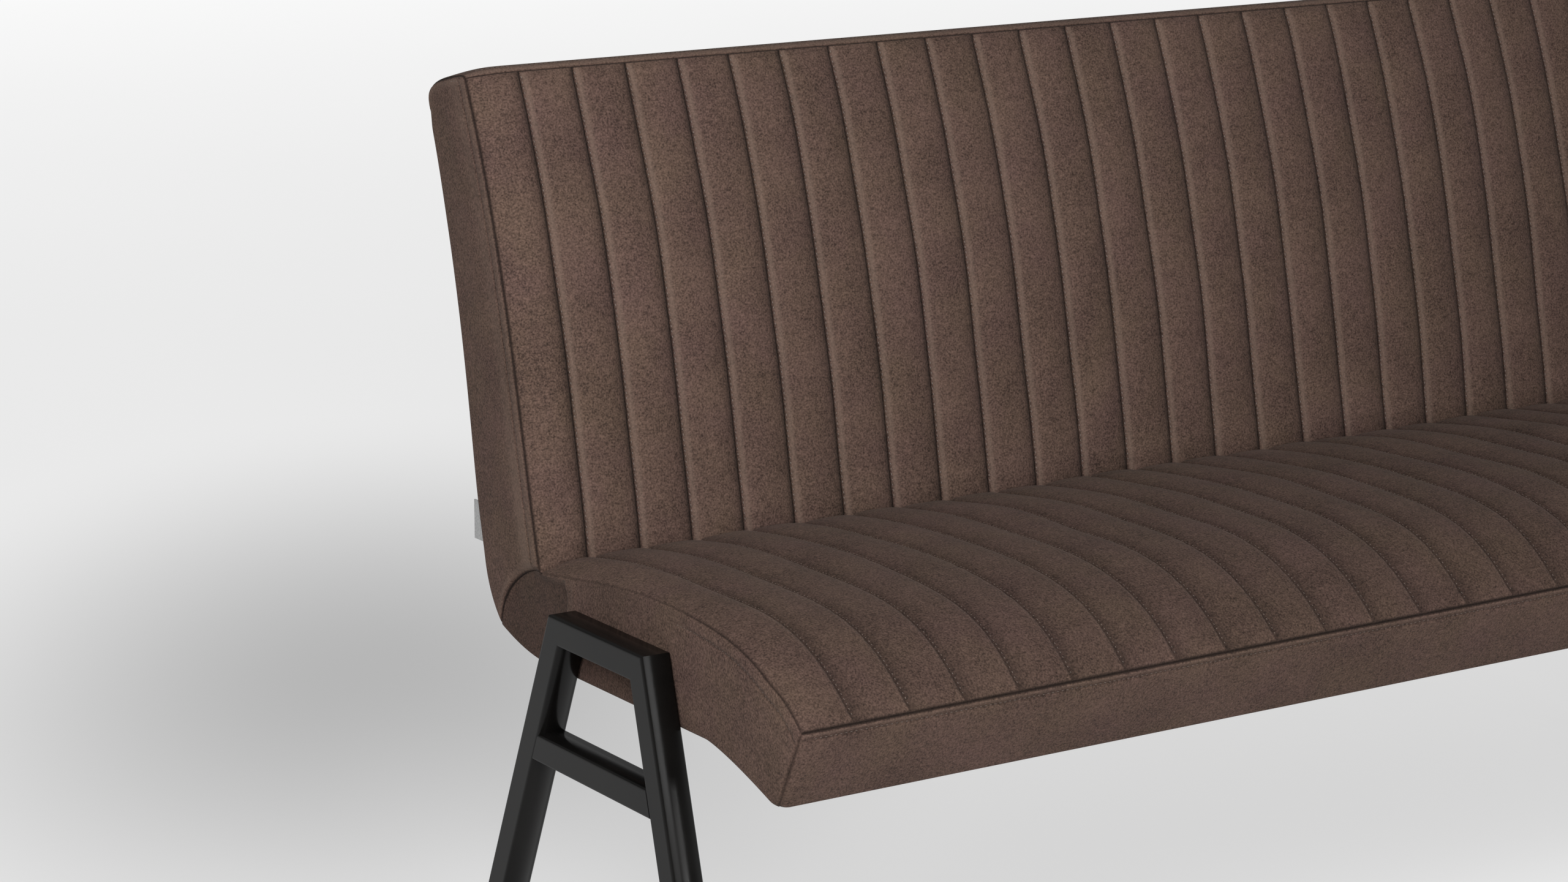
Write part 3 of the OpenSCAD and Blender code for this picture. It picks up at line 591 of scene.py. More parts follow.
seam_cols = np.searchsorted(x, seams - 0.01 * mm)
beside_cols = np.array([-5, -4, -2, 0, 2, 4, 5, 6])
cols = np.concatenate([[0, 2, 5], (seam_cols[:, None] + beside_cols).ravel(), len(x) - np.array([6, 3, 1])])
cols = np.unique(cols[(cols >= 0) & (cols < len(x))])
grid = raised(x, section, normal, height)
height = height + foam_swell("seat", grid, inward_of(normal), cols, seam_cols)
seat_grid = raised(x, section, normal, height)
# Painted shade in the seams, wider on the side turned from the light, a painted highlight on their other shoulder,
# and painted shade that grows towards the seat's front.
painted_shading = 0.5 * cover_painted_shading(x, seat_s, seat_length, lean=-1, reach=8 * mm, share=0.5)
painted_front_shade = 0.19 * np.clip(1.4 * seat_s / seat_length - 0.2, 0, 1)
painted_shading = painted_shading + painted_front_shade[:, None]
seat_pad_t, stitches_from = 26 * mm, 2 * mm
upholster("seat_cushion_cover", seat_grid, inward_of(normal, x), seat_pad_t, painted_shading, "seat_cushion", fill=0.85)
channel_stitches("seat_channel_stitches", seat_grid, seat_s, x, stitches_from, seat_length - stitches_from,
                 sunk=0.35 * mm)

# Back cushion
# The same channelled cover over the foam of the back. It bows backwards towards the top, and its
# lower edge goes down behind the seat.

back_h, back_lean, back_bow = 437 * mm, math.radians(10.2), 39.5 * mm
back_t_low, back_t_top = 105 * mm, 86 * mm
behind_seat, above_top = 10 * mm, 7.3 * mm
top_t = 1 + above_top / back_h


def back_at(t, depth):
    """Point of the side section at the share t of the back's height, depth behind the cover."""
    t = np.asarray(t, float)
    slope = math.tan(back_lean) + 3 * back_bow * np.clip(t, 0, None) ** 2 / back_h
    front = np.stack([back_h * t * math.tan(back_lean) + back_bow * np.clip(t, 0, None) ** 3, back_h * t], -1)
    rearward = np.stack([np.ones_like(slope), -slope], -1) / np.sqrt(1 + slope ** 2)[..., None]
    return front + np.asarray(depth)[..., None] * rearward


back_line = line_of(back_at(np.linspace(top_t, -behind_seat / back_h, 420), np.zeros(420)), -1)
back_length = back_line[1][-1]
plain_edge = (np.zeros(1), np.zeros(1))
back_s, drop_s = face_steps(back_length, seam_roll, plain_edge, np.arange(0, back_length, stitch_third))
section, normal = along_line(back_line, back_s)
back_fade = end_fade * fade(back_s - seam_sink, 9 * mm)[:, None]
back_crown, back_groove = 4.3 * mm, 3 * mm
back_unevenness, back_wave = 0.8 * mm, 160 * mm
height = channels(x, back_s, back_crown, back_groove, 4)
height = height + back_unevenness * waves(x[None, :], back_s[:, None], back_wave, 6)
back_end_fall, fall_rise = 8 * mm, 90 * mm
back_fall = back_end_fall * (1 - np.exp(-np.clip(section[:, 1], 0, None) / fall_rise))
height = height * back_fade - back_fall[:, None] * end_fall(x)[None, :]
height = height - both_drops(drop_s[:, None], drop_x[None, :])
grid = raised(x, section, normal, height)
height = height + foam_swell("back", grid, inward_of(normal), cols, seam_cols)
back_grid = raised(x, section, normal, height)
back_pad_t, stitches_end = 34 * mm, 10 * mm
# Painted shade in the seams, wider on the side turned from the light, and a painted highlight on the other shoulder.
painted_shading = cover_painted_shading(x, back_s, 0, lean=1)
upholster("back_cushion_cover", back_grid, inward_of(normal, x), back_pad_t, painted_shading, "back_cushion", fill=0.85)
channel_stitches("back_channel_stitches", back_grid, back_s, x, 0, back_length - stitches_end, sunk=0.1 * mm)

# Front band
# A padded strip across the seat's front. A row of topstitching holds down the seam allowance below its
# upper seam, and it wraps round the lower edge to a hem stapled to the frame.

front_lean, body_drop, front_lip = 38 * mm, 93.8 * mm, 33 * mm
front_top = np.array([-seat_d, -seat_drop])
front_low = np.array([front_lean - seat_d, -body_drop - front_lip])
wrap_r, hem = 3.5 * mm, 14 * mm
band_t = 3 * mm


def topstitched(d, row, ridge=0.9 * mm):
    """Relief beside a seam: a ridge over the allowance, and a groove where it is sewn down."""
    groove, groove_w = 1.2 * mm, 1.4 * mm
    return ridge * bell(d - 0.5 * row, 0.32 * row) - groove * bell(d - row, groove_w)


def wrapped(steps=8):
    """Insets and drops of an edge that wraps right round to its hem, from the face outwards."""
    angle = np.linspace(0, math.pi / 2, steps)
    inset, drop = wrap_r * (1 - np.sin(angle)), wrap_r * (1 - np.cos(angle))
    return np.concatenate([inset, [0, 0]]), np.concatenate([drop, wrap_r + hem * np.array([0.5, 1])])


front_row = 9 * mm
front_height = np.linalg.norm(front_low - front_top)
front_way = (front_low - front_top) / front_height
front_out = np.array([front_way[1], -front_way[0]])
seam_in, seam_drop = seam_roll
wrap_in, wrap_drop = wrapped()
marks = np.concatenate([np.arange(8.5, 17, 1.1), np.arange(20, 70, 6)]) * mm
marks = marks[marks < front_height - wrap_r - 2 * mm]
down = np.concatenate([seam_in, marks, front_height - wrap_in])
deep = np.concatenate([seam_drop, 0 * marks, wrap_drop])
band_x, band_drop = face_steps(length, seam_roll, seam_roll, np.arange(0, length, stitch_third))
mitre = np.where(down > front_height / 2, np.clip(deep - seam_sink, 0, None), 0)[:, None]
wide_x = seam_sink + mitre + (band_x[None, :] - seam_sink) * (1 - 2 * mitre / (length - 2 * seam_sink))
band_fade = fade(to_ends(band_x), 14 * mm)[None, :]
full = np.clip(np.sin(math.pi * down / front_height), 0, None)[:, None]
band_swell, band_unevenness, band_wave = 1.6 * mm, 0.5 * mm, 120 * mm
height = topstitched(down - seam_sink, front_row - seam_sink)[:, None] * band_fade
swell = band_swell + band_unevenness * waves(band_x[None, :], down[:, None], band_wave, 8)
height = height + swell * full * band_fade
shallow = both_drops(np.clip(deep, None, seam_sink)[:, None], band_drop[None, :])
height = height - np.where(deep[:, None] > seam_sink, deep[:, None], shallow)
section = front_top + down[:, None] * front_way


def tips_drawn_in(grid):
    """Points of the bands, drawn in where the seat's two lower front corners are rounded."""
    reach, drawn = 14 * mm, 4.5 * mm
    for side in (-1, 1):
        tip = np.array([side * length / 2, front_low[0] + crease_y, front_low[1] + crease_z])
        near = (1 - fade(np.linalg.norm(grid - tip, axis=-1), reach))[..., None]
        grid = grid + drawn * near ** 2 * np.array([-0.6 * side, 0.45, 0.8])
    return grid


front_grid = tips_drawn_in(in_place(wide_x, section[:, None, :] + height[..., None] * front_out))
wall = np.where((deep > wrap_r)[:, None], [0, *-front_way], [0, *-front_out])[:, None, :]
painted_end_shade = bell(to_ends(band_x) - seam_sink, seam_mark)[None, :]


def band_painted_shading(to_seam, to_row, ends=painted_end_shade):
    """Painted shade along a band's seam, along its topstitching groove and at its ends, with a painted highlight on
    the shoulder beside the seam.
    """
    row_mark, painted_highlight, shoulder = 1.3 * mm, 0.3, 3.5 * mm
    seam_shade = np.maximum(bell(to_seam, seam_mark), 0.5 * bell(to_row, row_mark))
    return np.maximum(seam_shade, ends) - painted_highlight_line(to_seam, painted_highlight, shoulder)


painted_shading = band_painted_shading((down - seam_sink)[:, None], (down - front_row)[:, None], 0.5 * painted_end_shade)
upholster("seat_front_band", front_grid, wall, band_t, painted_shading, "seat_front_pad", fill=0.7)
row_margin = 12 * mm
x_at = np.arange(row_margin, length - row_margin, stitch_pitch)
sewn("front_topstitching", [on_cover(front_grid, down, band_x, np.full(len(x_at), front_row), x_at)], slant=0)

# End bands
# Padded strips over the sofa's two ends. The seat's band has a rounded rear end. The back's band runs
# from the top down past it to the lower rear corner, and rolls over its end.

heel_r, heel_turn = 95 * mm, math.radians(47)
seat_end_r, arc_low = 77 * mm, math.radians(7)
flat_rear, lip_run = 20 * mm, 116 * mm
flat_front = seat_d - front_lean - lip_run
soft_sink, soft_turn, arc_turn = 1.8 * mm, math.radians(60), math.radians(62)
top_crown, rear_bias, fullness = 20.4 * mm, 2.2, 0.21
heel_start = math.atan(math.tan(back_lean) - (back_t_low - back_t_top) * math.cos(back_lean) / back_h)
heel_centre = back_at(0, back_t_low) - heel_r * np.array([math.cos(heel_start), -math.sin(heel_start)])


def heel_at(angle):
    """Point of the rear face below the crease, where it turns under the seat."""
    return heel_centre + heel_r * np.stack([np.cos(angle), -np.sin(angle)], -1)


rear_corner = heel_at(np.array(heel_turn))
arc_centre = rear_corner - seat_end_r * np.array([math.cos(arc_low), math.sin(arc_low)])
arc_high = math.acos(-arc_centre[0] / seat_end_r)


def underside(y):
    """Height of the seat's underside."""
    rear = (rear_corner[1] + body_drop) * (np.clip(y + flat_rear, 0, None) / (rear_corner[0] + flat_rear)) ** 2
    fall = front_lip * (np.clip(-flat_front - y, 0, None) / (-flat_front - front_low[0])) ** 1.3
    return rear - fall - body_drop


def spaced(points, distances):
    """Points of a line at distances along it."""
    return points_where(distances, lengths_of(points), points)


def gap_to(points, line):
    """Distance from each point to a line."""
    flat = points.reshape(-1, 1, 2)
    start, way = line[:-1], np.diff(line, axis=0)
    share = np.clip(np.sum((flat - start) * way, -1) / np.maximum(np.sum(way * way, -1), 1e-12), 0, 1)
    return np.linalg.norm(flat - start - share[..., None] * way, axis=-1).min(1).reshape(points.shape[:-1])


def across_rows(upper, lower, near, far, middle_steps):
    """Points between pairs of upper and lower points, at set distances from both."""
    width = np.linalg.norm(lower - upper, axis=1)
    least_middle = 4 * mm
    tight = np.minimum(1, width / (near[-1] + far[-1] + least_middle))[:, None]
    inner = np.linspace(0, 1, middle_steps + 2)[1:-1]
    a, b = near * tight, width[:, None] - far[::-1] * tight
    distance = np.concatenate([a, a[:, -1:] + (b[:, :1] - a[:, -1:]) * inner, b], 1)
    way = (lower - upper) / np.maximum(width, 1e-9)[:, None]
    return upper[:, None, :] + distance[..., None] * way[:, None, :]


def column_stitches(name, grids, near, row, starts, ends):
    """Topstitching down the column of each end's band that lies a row's distance from the seam."""
    col = int(np.abs(near - row).argmin())
    threads = []
    for grid, out in zip(grids, (-1, 1)):
        line = grid[:, col]
        lengths = lengths_of(line)
        at = np.arange(starts, lengths[-1] - ends, stitch_pitch)
        threads.append((points_where(at, lengths, line), np.tile([out, 0.0, 0.0], (len(at), 1))))
    sewn(name, threads, slant=0)


def eased(distance, reach):
    """Share that grows from 0 to 1 over the reach, starting and ending softly."""
    share = fade(distance, reach)
    return share ** 2 * (3 - 2 * share)


roll_steps = seam_in - seam_sink
arc_angles = np.linspace(arc_high, arc_low, 70)
arc = arc_centre + seat_end_r * np.stack([np.cos(arc_angles), np.sin(arc_angles)], -1)
arc_length = lengths_of(arc)[-1]
seat_seam = seat_grid[::-1, 0, 1:] - [crease_y, crease_z]
back_seam = back_grid[:, 0, 1:] - [crease_y, crease_z]
back_seam = back_seam[back_seam[:, 1] > -4 * mm]
seat_row, back_row, back_swell = 13.5 * mm, 11.5 * mm, 1.5 * mm
beside_row = np.arange(-4, 5) * 1.1 * mm


def arc_depth(y):
    """Depth of the seam round the seat's rear end, which is pulled in deeper than the others."""
    pulled, pull_start, pull_end, let_go = 5 * mm, 20 * mm, 35 * mm, 36 * mm
    return seam_sink + pulled * fade(y, pull_start) * (1 - eased(y - pull_end, let_go))


corner_run, arc_share = 20 * mm, 0.845
upper = np.concatenate([seat_seam, spaced(arc, np.arange(1.5 * mm, arc_length - 1 * mm, stitch_third))])
run_front = lengths_of(upper)
under_y = np.linspace(front_low[0], rear_corner[0] - 1 * mm, 400)
under_line = np.stack([under_y, underside(under_y)], -1)
under_length = lengths_of(under_line)[-1]
lower = spaced(under_line, np.interp(run_front, [0, corner_run, run_front[len(seat_seam)], run_front[-1]],
                                     [seam_sink, corner_run + seam_sink, arc_share * under_length, under_length]))
seat_near = np.concatenate([roll_steps, seat_row + beside_row])
flat = across_rows(upper, lower, seat_near, wrap_in[:-2][::-1], 12)
gap_up, gap_front = gap_to(flat, seat_seam), gap_to(flat, np.stack([seat_seam[0], lower[0]]))
gap_arc, gap_low = gap_to(flat, arc), gap_to(flat, under_line)
cap_y, cap_z, cap_corner = -55 * mm, -6.5 * mm, 14 * mm
cap_run, cap_depth = 6 * mm, 6 * mm
past_cap = np.clip(cap_corner + cap_y - flat[..., 0], 0, None), np.clip(cap_corner + flat[..., 1] - cap_z, 0, None)
cap = eased(cap_corner - np.hypot(*past_cap), cap_run)
recess = cap_depth * cap * fade(gap_up, 5 * mm) * np.clip(0.2 + gap_low / (50 * mm), 0, 1)
depth = both_drops(rolled_drop(gap_up + seam_sink, seam_turn, seam_sink),
                   rolled_drop(gap_front + seam_sink, seam_turn, seam_sink))
depth = np.maximum(depth, recess)
depth = depth + (arc_depth(flat[..., 0]) - depth) * (1 - fade(gap_arc, 5 * mm)) ** 2
around = np.clip(wrap_r - gap_low, 0, wrap_r)
depth = np.maximum(depth, wrap_r - np.sqrt(wrap_r ** 2 - around ** 2))
open_face = fade(gap_up, 45 * mm) * fade(gap_low, 45 * mm) * fade(gap_arc, 20 * mm)
row_from, row_run = 230 * mm, 60 * mm
forward = eased(-row_from - flat[..., 0], row_run)
lift = topstitched(gap_up, seat_row, 0.7 * mm) * fade(gap_front, 9 * mm) * forward
fold_at, fold_w, fold_rise, seat_swell = 66 * mm, 5 * mm, 0.9 * mm, 1.4 * mm
fold = bell(flat[..., 0] + fold_at, fold_w) * fade(gap_up, 8 * mm) * np.clip(1.4 - gap_up / (50 * mm), 0, 1)
depth = depth - lift - (seat_swell * open_face + fold_rise * fold) * (1 - cap)
rear_relief = 9 * mm
past_row = gap_up - seat_row + (1 - forward) * rear_relief
painted_shading = band_painted_shading(np.minimum(gap_up, gap_arc), past_row, 0.5 * bell(gap_front, seam_mark))
painted_shading = np.where((painted_shading > 0) & (gap_arc > 6 * mm), painted_shading * (0.3 + 0.6 * forward), painted_shading)
# Painted shade in the recessed cap at the band's rear.
painted_shading = np.maximum(painted_shading, 0.4 * cap)
# Painted shadow on the band just under the seat's seam, strongest about 140 mm forward of the crease.
shadow_at, shadow_w, shadow_down = 140 * mm, 60 * mm, 14 * mm
shadow_under_seam = bell(-flat[..., 0] - shadow_at, shadow_w) * np.exp(-gap_up / shadow_down)
seat_painted_shading = np.maximum(painted_shading, 0.25 * shadow_under_seam)
flat = np.concatenate([flat, np.repeat(flat[:, -1:], 2, 1)], 1)
depth = np.concatenate([depth, np.broadcast_to(wrap_drop[-2:], (len(flat), 2))], 1)
seat_painted_shading = np.concatenate([seat_painted_shading, np.repeat(seat_painted_shading[:, -1:], 2, 1)], 1)
turned_under = len(wrap_in)
corner_reach = 30 * mm
shift = np.clip(depth[:, -turned_under:] - seam_sink, 0, None) * np.exp(-run_front / corner_reach)[:, None]
flat[:, -turned_under:, 0] += shift
flat[:, -3:, 1] = underside(flat[:, -3:, 0])
seat_end = flat, depth, seat_painted_shading

rear_t = np.linspace(1, 0, 200)
heel_angles = np.linspace(heel_start, heel_turn, 60)[1:]
rear_points = np.concatenate([back_at(rear_t, back_t_low + (back_t_top - back_t_low) * rear_t), heel_at(heel_angles)])
rear_z = rear_points[:, 1]
rear_bulge, bulge_from, bulge_run = 8.5 * mm, 5 * mm, 22 * mm
rear_out = rear_bulge / (1 + np.exp((bulge_from - rear_z) / bulge_run))
rear_out = rear_out - 2 * mm * eased(rear_z - 290 * mm, 110 * mm) - 4 * mm * eased(rear_z - 382 * mm, 24 * mm)
rear_line = line_of(rear_points + rear_out[:, None] * line_of(rear_points, 1)[3], 1)
rear_edge = rear_line[0] - soft_sink * rear_line[3]

seam_point, seam_normal = along_line(back_line, np.array([seam_sink]))
dome_start = (seam_point - seam_sink * seam_normal)[0]
rear_point, rear_normal = along_line(rear_line, np.array([seam_sink]))
dome_end = (rear_point - seam_sink * rear_normal)[0]
dome_along = (dome_end - dome_start) / np.linalg.norm(dome_end - dome_start)
dome_up = np.array([-dome_along[1], dome_along[0]])
dome_share = (1 - np.cos(np.linspace(0, math.pi, 61))) / 2
dome_rise = np.sin(math.pi * dome_share ** rear_bias) ** fullness
dome_rise[-1] = 0


def dome_at(x):
    """Section of the domed top at each x, which droops towards the sofa's ends."""
    most_droop, droop_reach, leaned_in = 7 * mm, 38 * mm, 4.5 * mm
    droop = most_droop * end_fall(x, droop_reach)[None, :] * (1.5 - 1.75 * dome_share[:, None])
    up = (top_crown - droop) * dome_rise[:, None]
    back = back_fall[0] * end_fall(x)[None, :] * (1 - dome_share[:, None]) ** 2
    drawn_in = leaned_in * dome_share ** 2 * dome_rise
    chord = dome_start + dome_share[:, None] * (dome_end - dome_start) - drawn_in[:, None] * dome_along
    return chord[:, None, :] + up[..., None] * dome_up - back[..., None] * seam_normal[0]


dome = dome_at(x[:1])[:, 0]
dome_height = (dome - dome[0]) @ dome_up
peak = dome_height.argmax()
levels = dome_height[peak] * np.sin(np.linspace(0.06, 1, 16) * math.pi / 2)[-2::-1]
front_side = points_where(levels, dome_height[:peak + 1], dome[:peak + 1])
rear_side = points_where(levels, dome_height[:peak - 1:-1], dome[:peak - 1:-1])
rear_edge[0] = dome_end
rear_run = lengths_of(rear_edge)
front_run = np.concatenate([back_seam, spaced(arc, np.arange(0, arc_length - 2 * mm, stitch_third))])
down_front = lengths_of(front_run)
heel_lead, last_gap = 6 * mm, 1 * mm
matched = spaced(rear_edge, np.interp(down_front, [0, down_front[len(back_seam)], down_front[-1]],
                                      [0, rear_run[len(rear_t) - 1] - heel_lead, rear_run[-1] - last_gap]))
soft_roll = rolled(soft_turn, soft_sink)
back_near = np.concatenate([roll_steps, back_row + beside_row])
outer_line, inner_line = np.concatenate([front_side, front_run]), np.concatenate([rear_side, matched])
flat = across_rows(outer_line, inner_line, back_near, soft_roll[0] - soft_sink, 10)
gap_front, gap_arc, gap_rear, gap_top = (gap_to(flat, line) for line in (back_seam, arc, rear_edge, dome))
depth = both_drops(rolled_drop(np.minimum(gap_front, gap_top) + seam_sink, seam_turn, seam_sink),
                   rolled_drop(gap_rear + soft_sink, soft_turn, soft_sink))
low_part = eased(12 * mm - flat[..., 1], 16 * mm)
sunk = arc_depth(flat[..., 0])
depth = np.maximum(depth, rolled_drop(gap_arc + sunk, arc_turn, sunk) * low_part)
open_face = fade(gap_front, 40 * mm) * fade(gap_rear, 40 * mm) * fade(gap_top, 40 * mm)
lift = topstitched(gap_front, back_row) * fade(gap_top, 14 * mm) * (1 - low_part)
# Painted shade in the seams and the topstitching groove, and a painted highlight down the band beside its front seam,
# stronger towards the bottom.
painted_shading = band_painted_shading(np.minimum(np.minimum(gap_front, gap_top), gap_arc), gap_front - back_row, 0)
highlight_at, highlight_w = 19 * mm, 10 * mm
band_highlight = 0.2 + 0.25 * eased(180 * mm - flat[..., 1], 160 * mm)
painted_shading = painted_shading - band_highlight * bell(gap_front - highlight_at, highlight_w)
back_end = flat, depth - lift - back_swell * open_face, painted_shading

end_grids = {}
for part, (flat, depth, painted_shading) in (("seat", seat_end), ("back", back_end)):
    end_grids[part] = tips_drawn_in(in_place(depth, flat)), tips_drawn_in(in_place(length - depth, flat))
    for grid, word, inward in zip(end_grids[part], ("left", "right"), (1.0, -1.0)):
        upholster(f"{part}_end_band_{word}", grid, np.array([inward, 0, 0]), band_t, painted_shading,
                  f"{part}_end_pad_{word}", fill=0.7)
seat_row_end, back_row_start = arc_length + 232 * mm, 34 * mm
column_stitches("seat_end_topstitching", end_grids["seat"], seat_near, seat_row, row_margin, seat_row_end)
column_stitches("back_end_topstitching", end_grids["back"], back_near, back_row, back_row_start, arc_length)

# Top band
# A padded strip of the same microfibre over the top edge, sewn in between the seam of the back's cover
# and the rear panel. Its foam domes it, and it droops a little towards both ends.

dome_line = line_of(dome_at(np.array([length / 2]))[:, 0], 1)
dome_s = dome_line[1]
edge_rise, top_row, top_ridge = 0.35, 11 * mm, 0.6 * mm
rise = np.sin(math.pi * dome_share) ** edge_rise
rise[[0, -1]] = 0
height = (seam_sink - band_drop)[None, :] * rise[:, None]
height = height + (topstitched(dome_s, top_row, top_ridge) * rise)[:, None] * band_fade
top_grid = in_place(band_x[None, :], dome_at(band_x) + height[..., None] * dome_line[3][:, None, :])
# Painted shade along the seam and the topstitching groove, with a painted highlight beside the seam.
painted_shading = band_painted_shading(dome_s[:, None], (dome_s - top_row)[:, None])
upholster("back_top_band", top_grid, inward_of(dome_line[3]), band_t, painted_shading, "back_top_pad", fill=0.7)
sewn("top_topstitching", [on_cover(top_grid, dome_s, band_x, np.full(len(x_at), top_row), x_at)], slant=0)

# Rear panel
# One padded panel of the same microfibre over the back's rear, sewn to the top band and the end bands.
# It runs down round the heel, where its hem is stapled under the seat.

rear_length = rear_line[1][-1]
rear_x, rear_drop = face_steps(length, soft_roll, soft_roll, np.arange(0, length, 12 * mm))
rear_s, drop_s = face_steps(rear_length, seam_roll, plain_edge, np.arange(0, rear_length, 9 * mm))
section, normal = along_line(rear_line, rear_s)
rear_swell, rear_unevenness, rear_wave = 2.5 * mm, 1.2 * mm, 260 * mm
down_full = np.clip(np.sin(math.pi * rear_s / rear_length), 0, 1)[:, None]
full = (down_full * np.sin(math.pi * rear_x / length)[None, :]) ** 0.5
height = (rear_swell + rear_unevenness * waves(rear_x[None, :], rear_s[:, None], rear_wave, 9)) * full
height = height - both_drops(drop_s[:, None], rear_drop[None, :])
rear_grid = raised(rear_x, section, normal, height)
# Painted shade along the panel's seams at its top and ends.
wide_mark = 1.2 * mm
side_shade = bell(to_ends(rear_x) - soft_sink, wide_mark)[None, :]
painted_shading = np.maximum(bell(rear_s - seam_sink, wide_mark)[:, None], side_shade)
upholster("back_rear_cover", rear_grid, inward_of(normal), band_t, painted_shading, "back_rear_panel", fill=0.6)

# Bottom cloth
# Black non-woven cloth that keeps dust out of the frame. It is stretched over the underside and stapled
# over the hems of the bands.

bottom_black, tree, shader = new_finish("black_bottom_cloth", 0.95)
fibres = grain(tree, 700, 4)
vary(tree, shader, fibres, (0.010, 0.010, 0.011), (0.034, 0.034, 0.036))
relief(tree, shader, fibres, 0.2 * mm, 0.7)
cloth_margin, front_margin, rear_margin = 16 * mm, 14 * mm, 3 * mm
cloth_t, most_sag, sags = 0.8 * mm, 1.2 * mm, 5
cloth_x = np.linspace(cloth_margin, length - cloth_margin, 90)
cloth_y = np.linspace(front_low[0] + front_margin, rear_corner[0] - rear_margin, 60)
sag = most_sag * np.sin(math.pi * np.linspace(0, 1, len(cloth_y)))[:, None]
sag = sag * np.abs(np.sin(sags * math.pi * cloth_x / length))[None, :]
section = np.stack(np.broadcast_arrays(cloth_y[:, None], underside(cloth_y)[:, None] - sag), -1)
bottom_grid = in_place(cloth_x[None, :], section)
bottom = fit_piece(shell_of("bottom_cloth", bottom_grid, np.array([0, 0, 1.0]), cloth_t), bottom_black,
                   "bottom_cloth", "bottom_cover")

# Tab
# A small folded tab of grey webbing, left plain. Its two raw ends are sewn into the seam between the
# end band and the rear panel.

webbing, tree, shader = new_finish("grey_webbing", 0.6)
weave = grain(tree, 1500, 2, (1, 1, 0.4))
vary(tree, shader, weave, (0.30, 0.30, 0.30), (0.52, 0.52, 0.52))
relief(tree, shader, weave, 0.1 * mm, 0.6)
tab_low, tab_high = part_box("sewn_tab")
tab_bend, sewn_in, tab_short, tab_edge, web_t = 0.9 * mm, 4 * mm, 2 * mm, 1 * mm, 0.3 * mm
around_bend = np.linspace(0, math.pi, 13)
tab_rows = []
for z in np.linspace(tab_low.z + tab_edge, tab_high.z - tab_edge, 12):
    root = crease_y + np.interp(z - crease_z, rear_edge[::-1, 1], rear_edge[::-1, 0]) - sewn_in
    tip = tab_high.y - tab_short
    bend = np.stack([tab_bend * np.cos(around_bend), tip + tab_bend * np.sin(around_bend)], -1)
    line = np.concatenate([[[tab_bend, root]], bend, [[-tab_bend, root]]]) + [(tab_low.x + tab_high.x) / 2, 0]
    tab_rows.append(np.concatenate([line, np.full((len(line), 1), z)], 1))
tab_mesh = shell_of("sewn_tab_webbing", np.array(tab_rows), np.array([0, -1.0, 0]), web_t)
fit_piece(tab_mesh, webbing, "tab", "sewn_tab")

# Floor, light and camera
# A pale floor that goes softly grey behind the sofa, under plain soft boxes at the front left, and the
# photograph's viewpoint. None of it belongs to the sofa.

floor_finish, tree, shader = new_finish("pale_floor", 0.9)
floor_tone = grain(tree, 0.6, 2)
vary(tree, shader, floor_tone, (0.49, 0.49, 0.49), (0.52, 0.52, 0.52))
# Painted shadow: the floor's glow is made greyer in a soft patch behind the left half of the sofa.
floor_shadow_at, floor_shadow_turn, floor_shadow_size = (-0.4, 1.25, 0), math.radians(-33), (0.8, 1.6, 1)
floor_shadow_grey, near_tone, tone_rise = -0.36, 0.55, 0.032
place = tree.nodes.new("ShaderNodeTexCoord")
floor_shadow_place = tree.nodes.new("ShaderNodeMapping")
floor_shadow_place.vector_type = "TEXTURE"
floor_shadow_place.inputs["Location"].default_value = floor_shadow_at
floor_shadow_place.inputs["Rotation"].default_value = (0, 0, floor_shadow_turn)
floor_shadow_place.inputs["Scale"].default_value = floor_shadow_size
floor_shadow = tree.nodes.new("ShaderNodeTexGradient")
floor_shadow.gradient_type = "SPHERICAL"
soft_floor_shadow = tree.nodes.new("ShaderNodeMapRange")
soft_floor_shadow.interpolation_type = "SMOOTHSTEP"
apart = tree.nodes.new("ShaderNodeSeparateXYZ")
seen = tree.nodes.new("ShaderNodeLightPath")
tree.links.new(place.outputs["Object"], floor_shadow_place.inputs["Vector"])
tree.links.new(floor_shadow_place.outputs["Vector"], floor_shadow.inputs["Vector"])
tree.links.new(floor_shadow.outputs["Fac"], soft_floor_shadow.inputs["Value"])
tree.links.new(place.outputs["Object"], apart.inputs["Vector"])
paler = sum_of(tree, "MULTIPLY_ADD", apart.outputs["Y"], tone_rise, near_tone)
glow = sum_of(tree, "MULTIPLY_ADD", soft_floor_shadow.outputs["Result"], floor_shadow_grey, paler)
tree.links.new(glow, shader.inputs["Emission Color"])
looked_at = sum_of(tree, "MAXIMUM", seen.outputs["Is Camera Ray"], seen.outputs["Is Glossy Ray"])
looked_at = sum_of(tree, "MAXIMUM", looked_at, seen.outputs["Is Transmission Ray"])
tree.links.new(looked_at, shader.inputs["Emission Strength"])
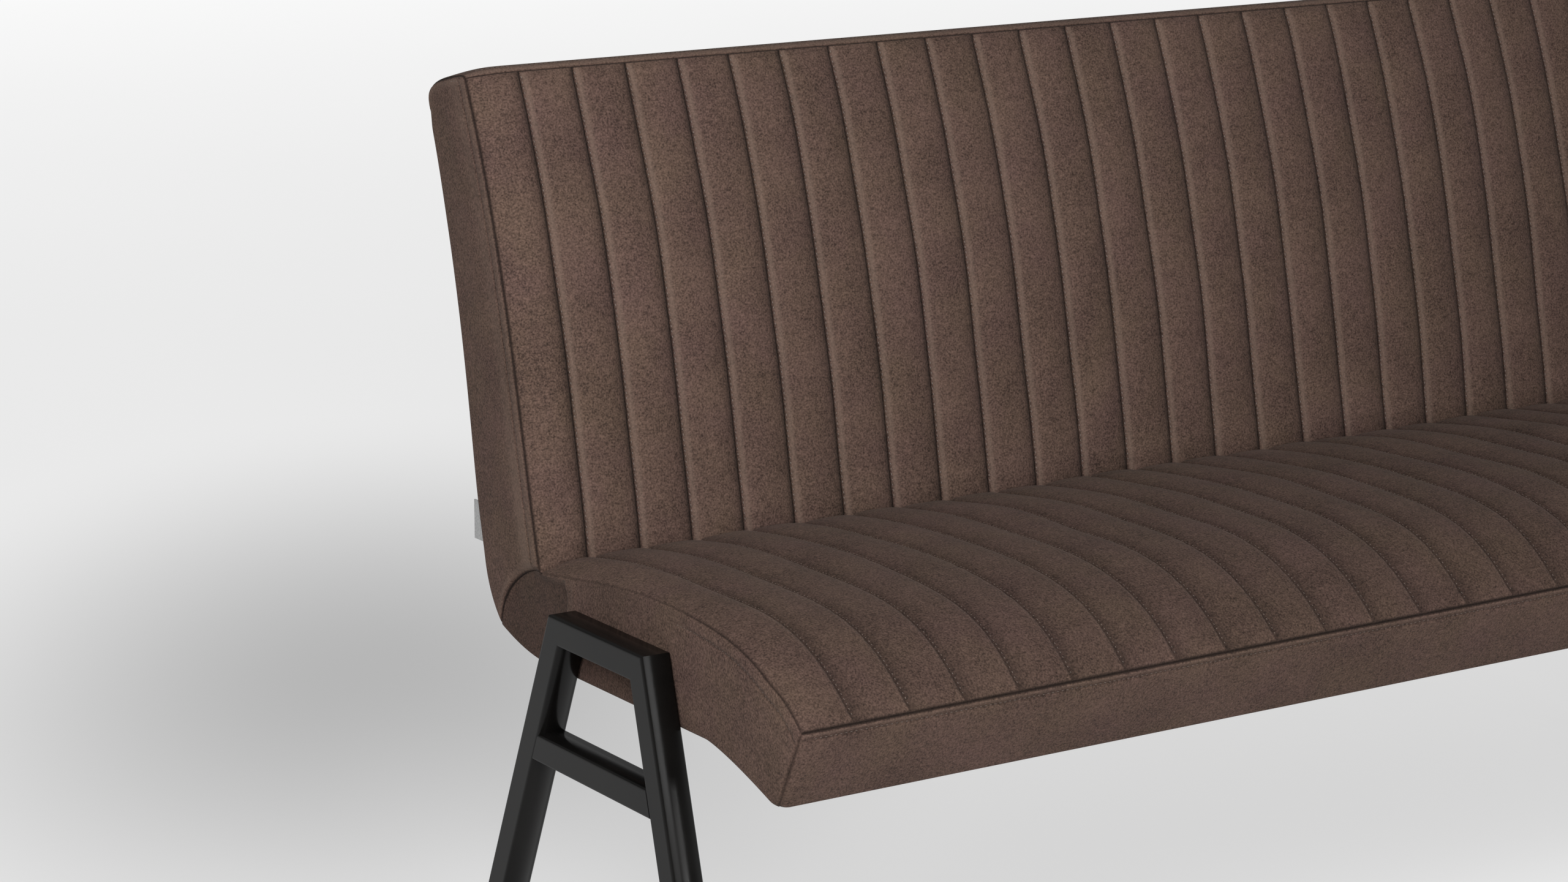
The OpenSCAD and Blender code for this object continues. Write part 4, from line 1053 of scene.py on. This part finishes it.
bpy.ops.mesh.primitive_circle_add(vertices=96, radius=40, fill_type="NGON", location=(0, 0, 0))
floor = bpy.context.active_object
floor.name = "floor"
floor.data.materials.append(floor_finish)

world = bpy.data.worlds.new("studio")
bpy.context.scene.world = world
world.use_nodes = True
background = world.node_tree.nodes["Background"]
background.inputs["Color"].default_value = (1, 1, 1, 1)
background.inputs["Strength"].default_value = 0.24


def soft_lamp(name, place, aim, wide, tall, power):
    """A soft box aimed at a point."""
    data = bpy.data.lights.new(name, "AREA")
    data.shape = "RECTANGLE"
    data.size, data.size_y, data.energy = wide, tall, power
    lamp = bpy.data.objects.new(name, data)
    lamp.location = place
    lamp.rotation_euler = (Vector(aim) - Vector(place)).to_track_quat("-Z", "Y").to_euler()
    bpy.context.scene.collection.objects.link(lamp)


soft_lamp("key", place=(-2.3, -1.8, 2.05), aim=(-0.4, 0, 0.6), wide=1.4, tall=1.4, power=82)
soft_lamp("low_front", place=(0.5, -3.4, 0.58), aim=(-0.77, -0.16, 0.2), wide=1.6, tall=0.3, power=22)
soft_lamp("upper_front", place=(-1.5, -3.4, 1.05), aim=(-0.77, -0.16, 0.3), wide=1.5, tall=0.3, power=18)

camera_place, sensor_w, focal_length = (-2.5083, -2.9951, 1.4038), 36, 91.36
azimuth, elevation, roll = math.radians(-33.06), math.radians(13.04), 0.0014
back_way = Vector((math.sin(azimuth) * math.cos(elevation), -math.cos(azimuth) * math.cos(elevation),
                   math.sin(elevation)))
right = Vector((math.cos(azimuth), math.sin(azimuth), 0))
upward = back_way.cross(right)
right, upward = math.cos(roll) * right + math.sin(roll) * upward, math.cos(roll) * upward - math.sin(roll) * right
camera_data = bpy.data.cameras.new("camera")
camera_data.sensor_width = sensor_w
camera_data.lens = focal_length
camera = bpy.data.objects.new("camera", camera_data)
bpy.context.scene.collection.objects.link(camera)
turn = Matrix((right, upward, back_way)).transposed().to_4x4()
camera.matrix_world = Matrix.Translation(camera_place) @ turn
bpy.context.scene.camera = camera
bpy.context.scene.view_settings.view_transform = "Standard"
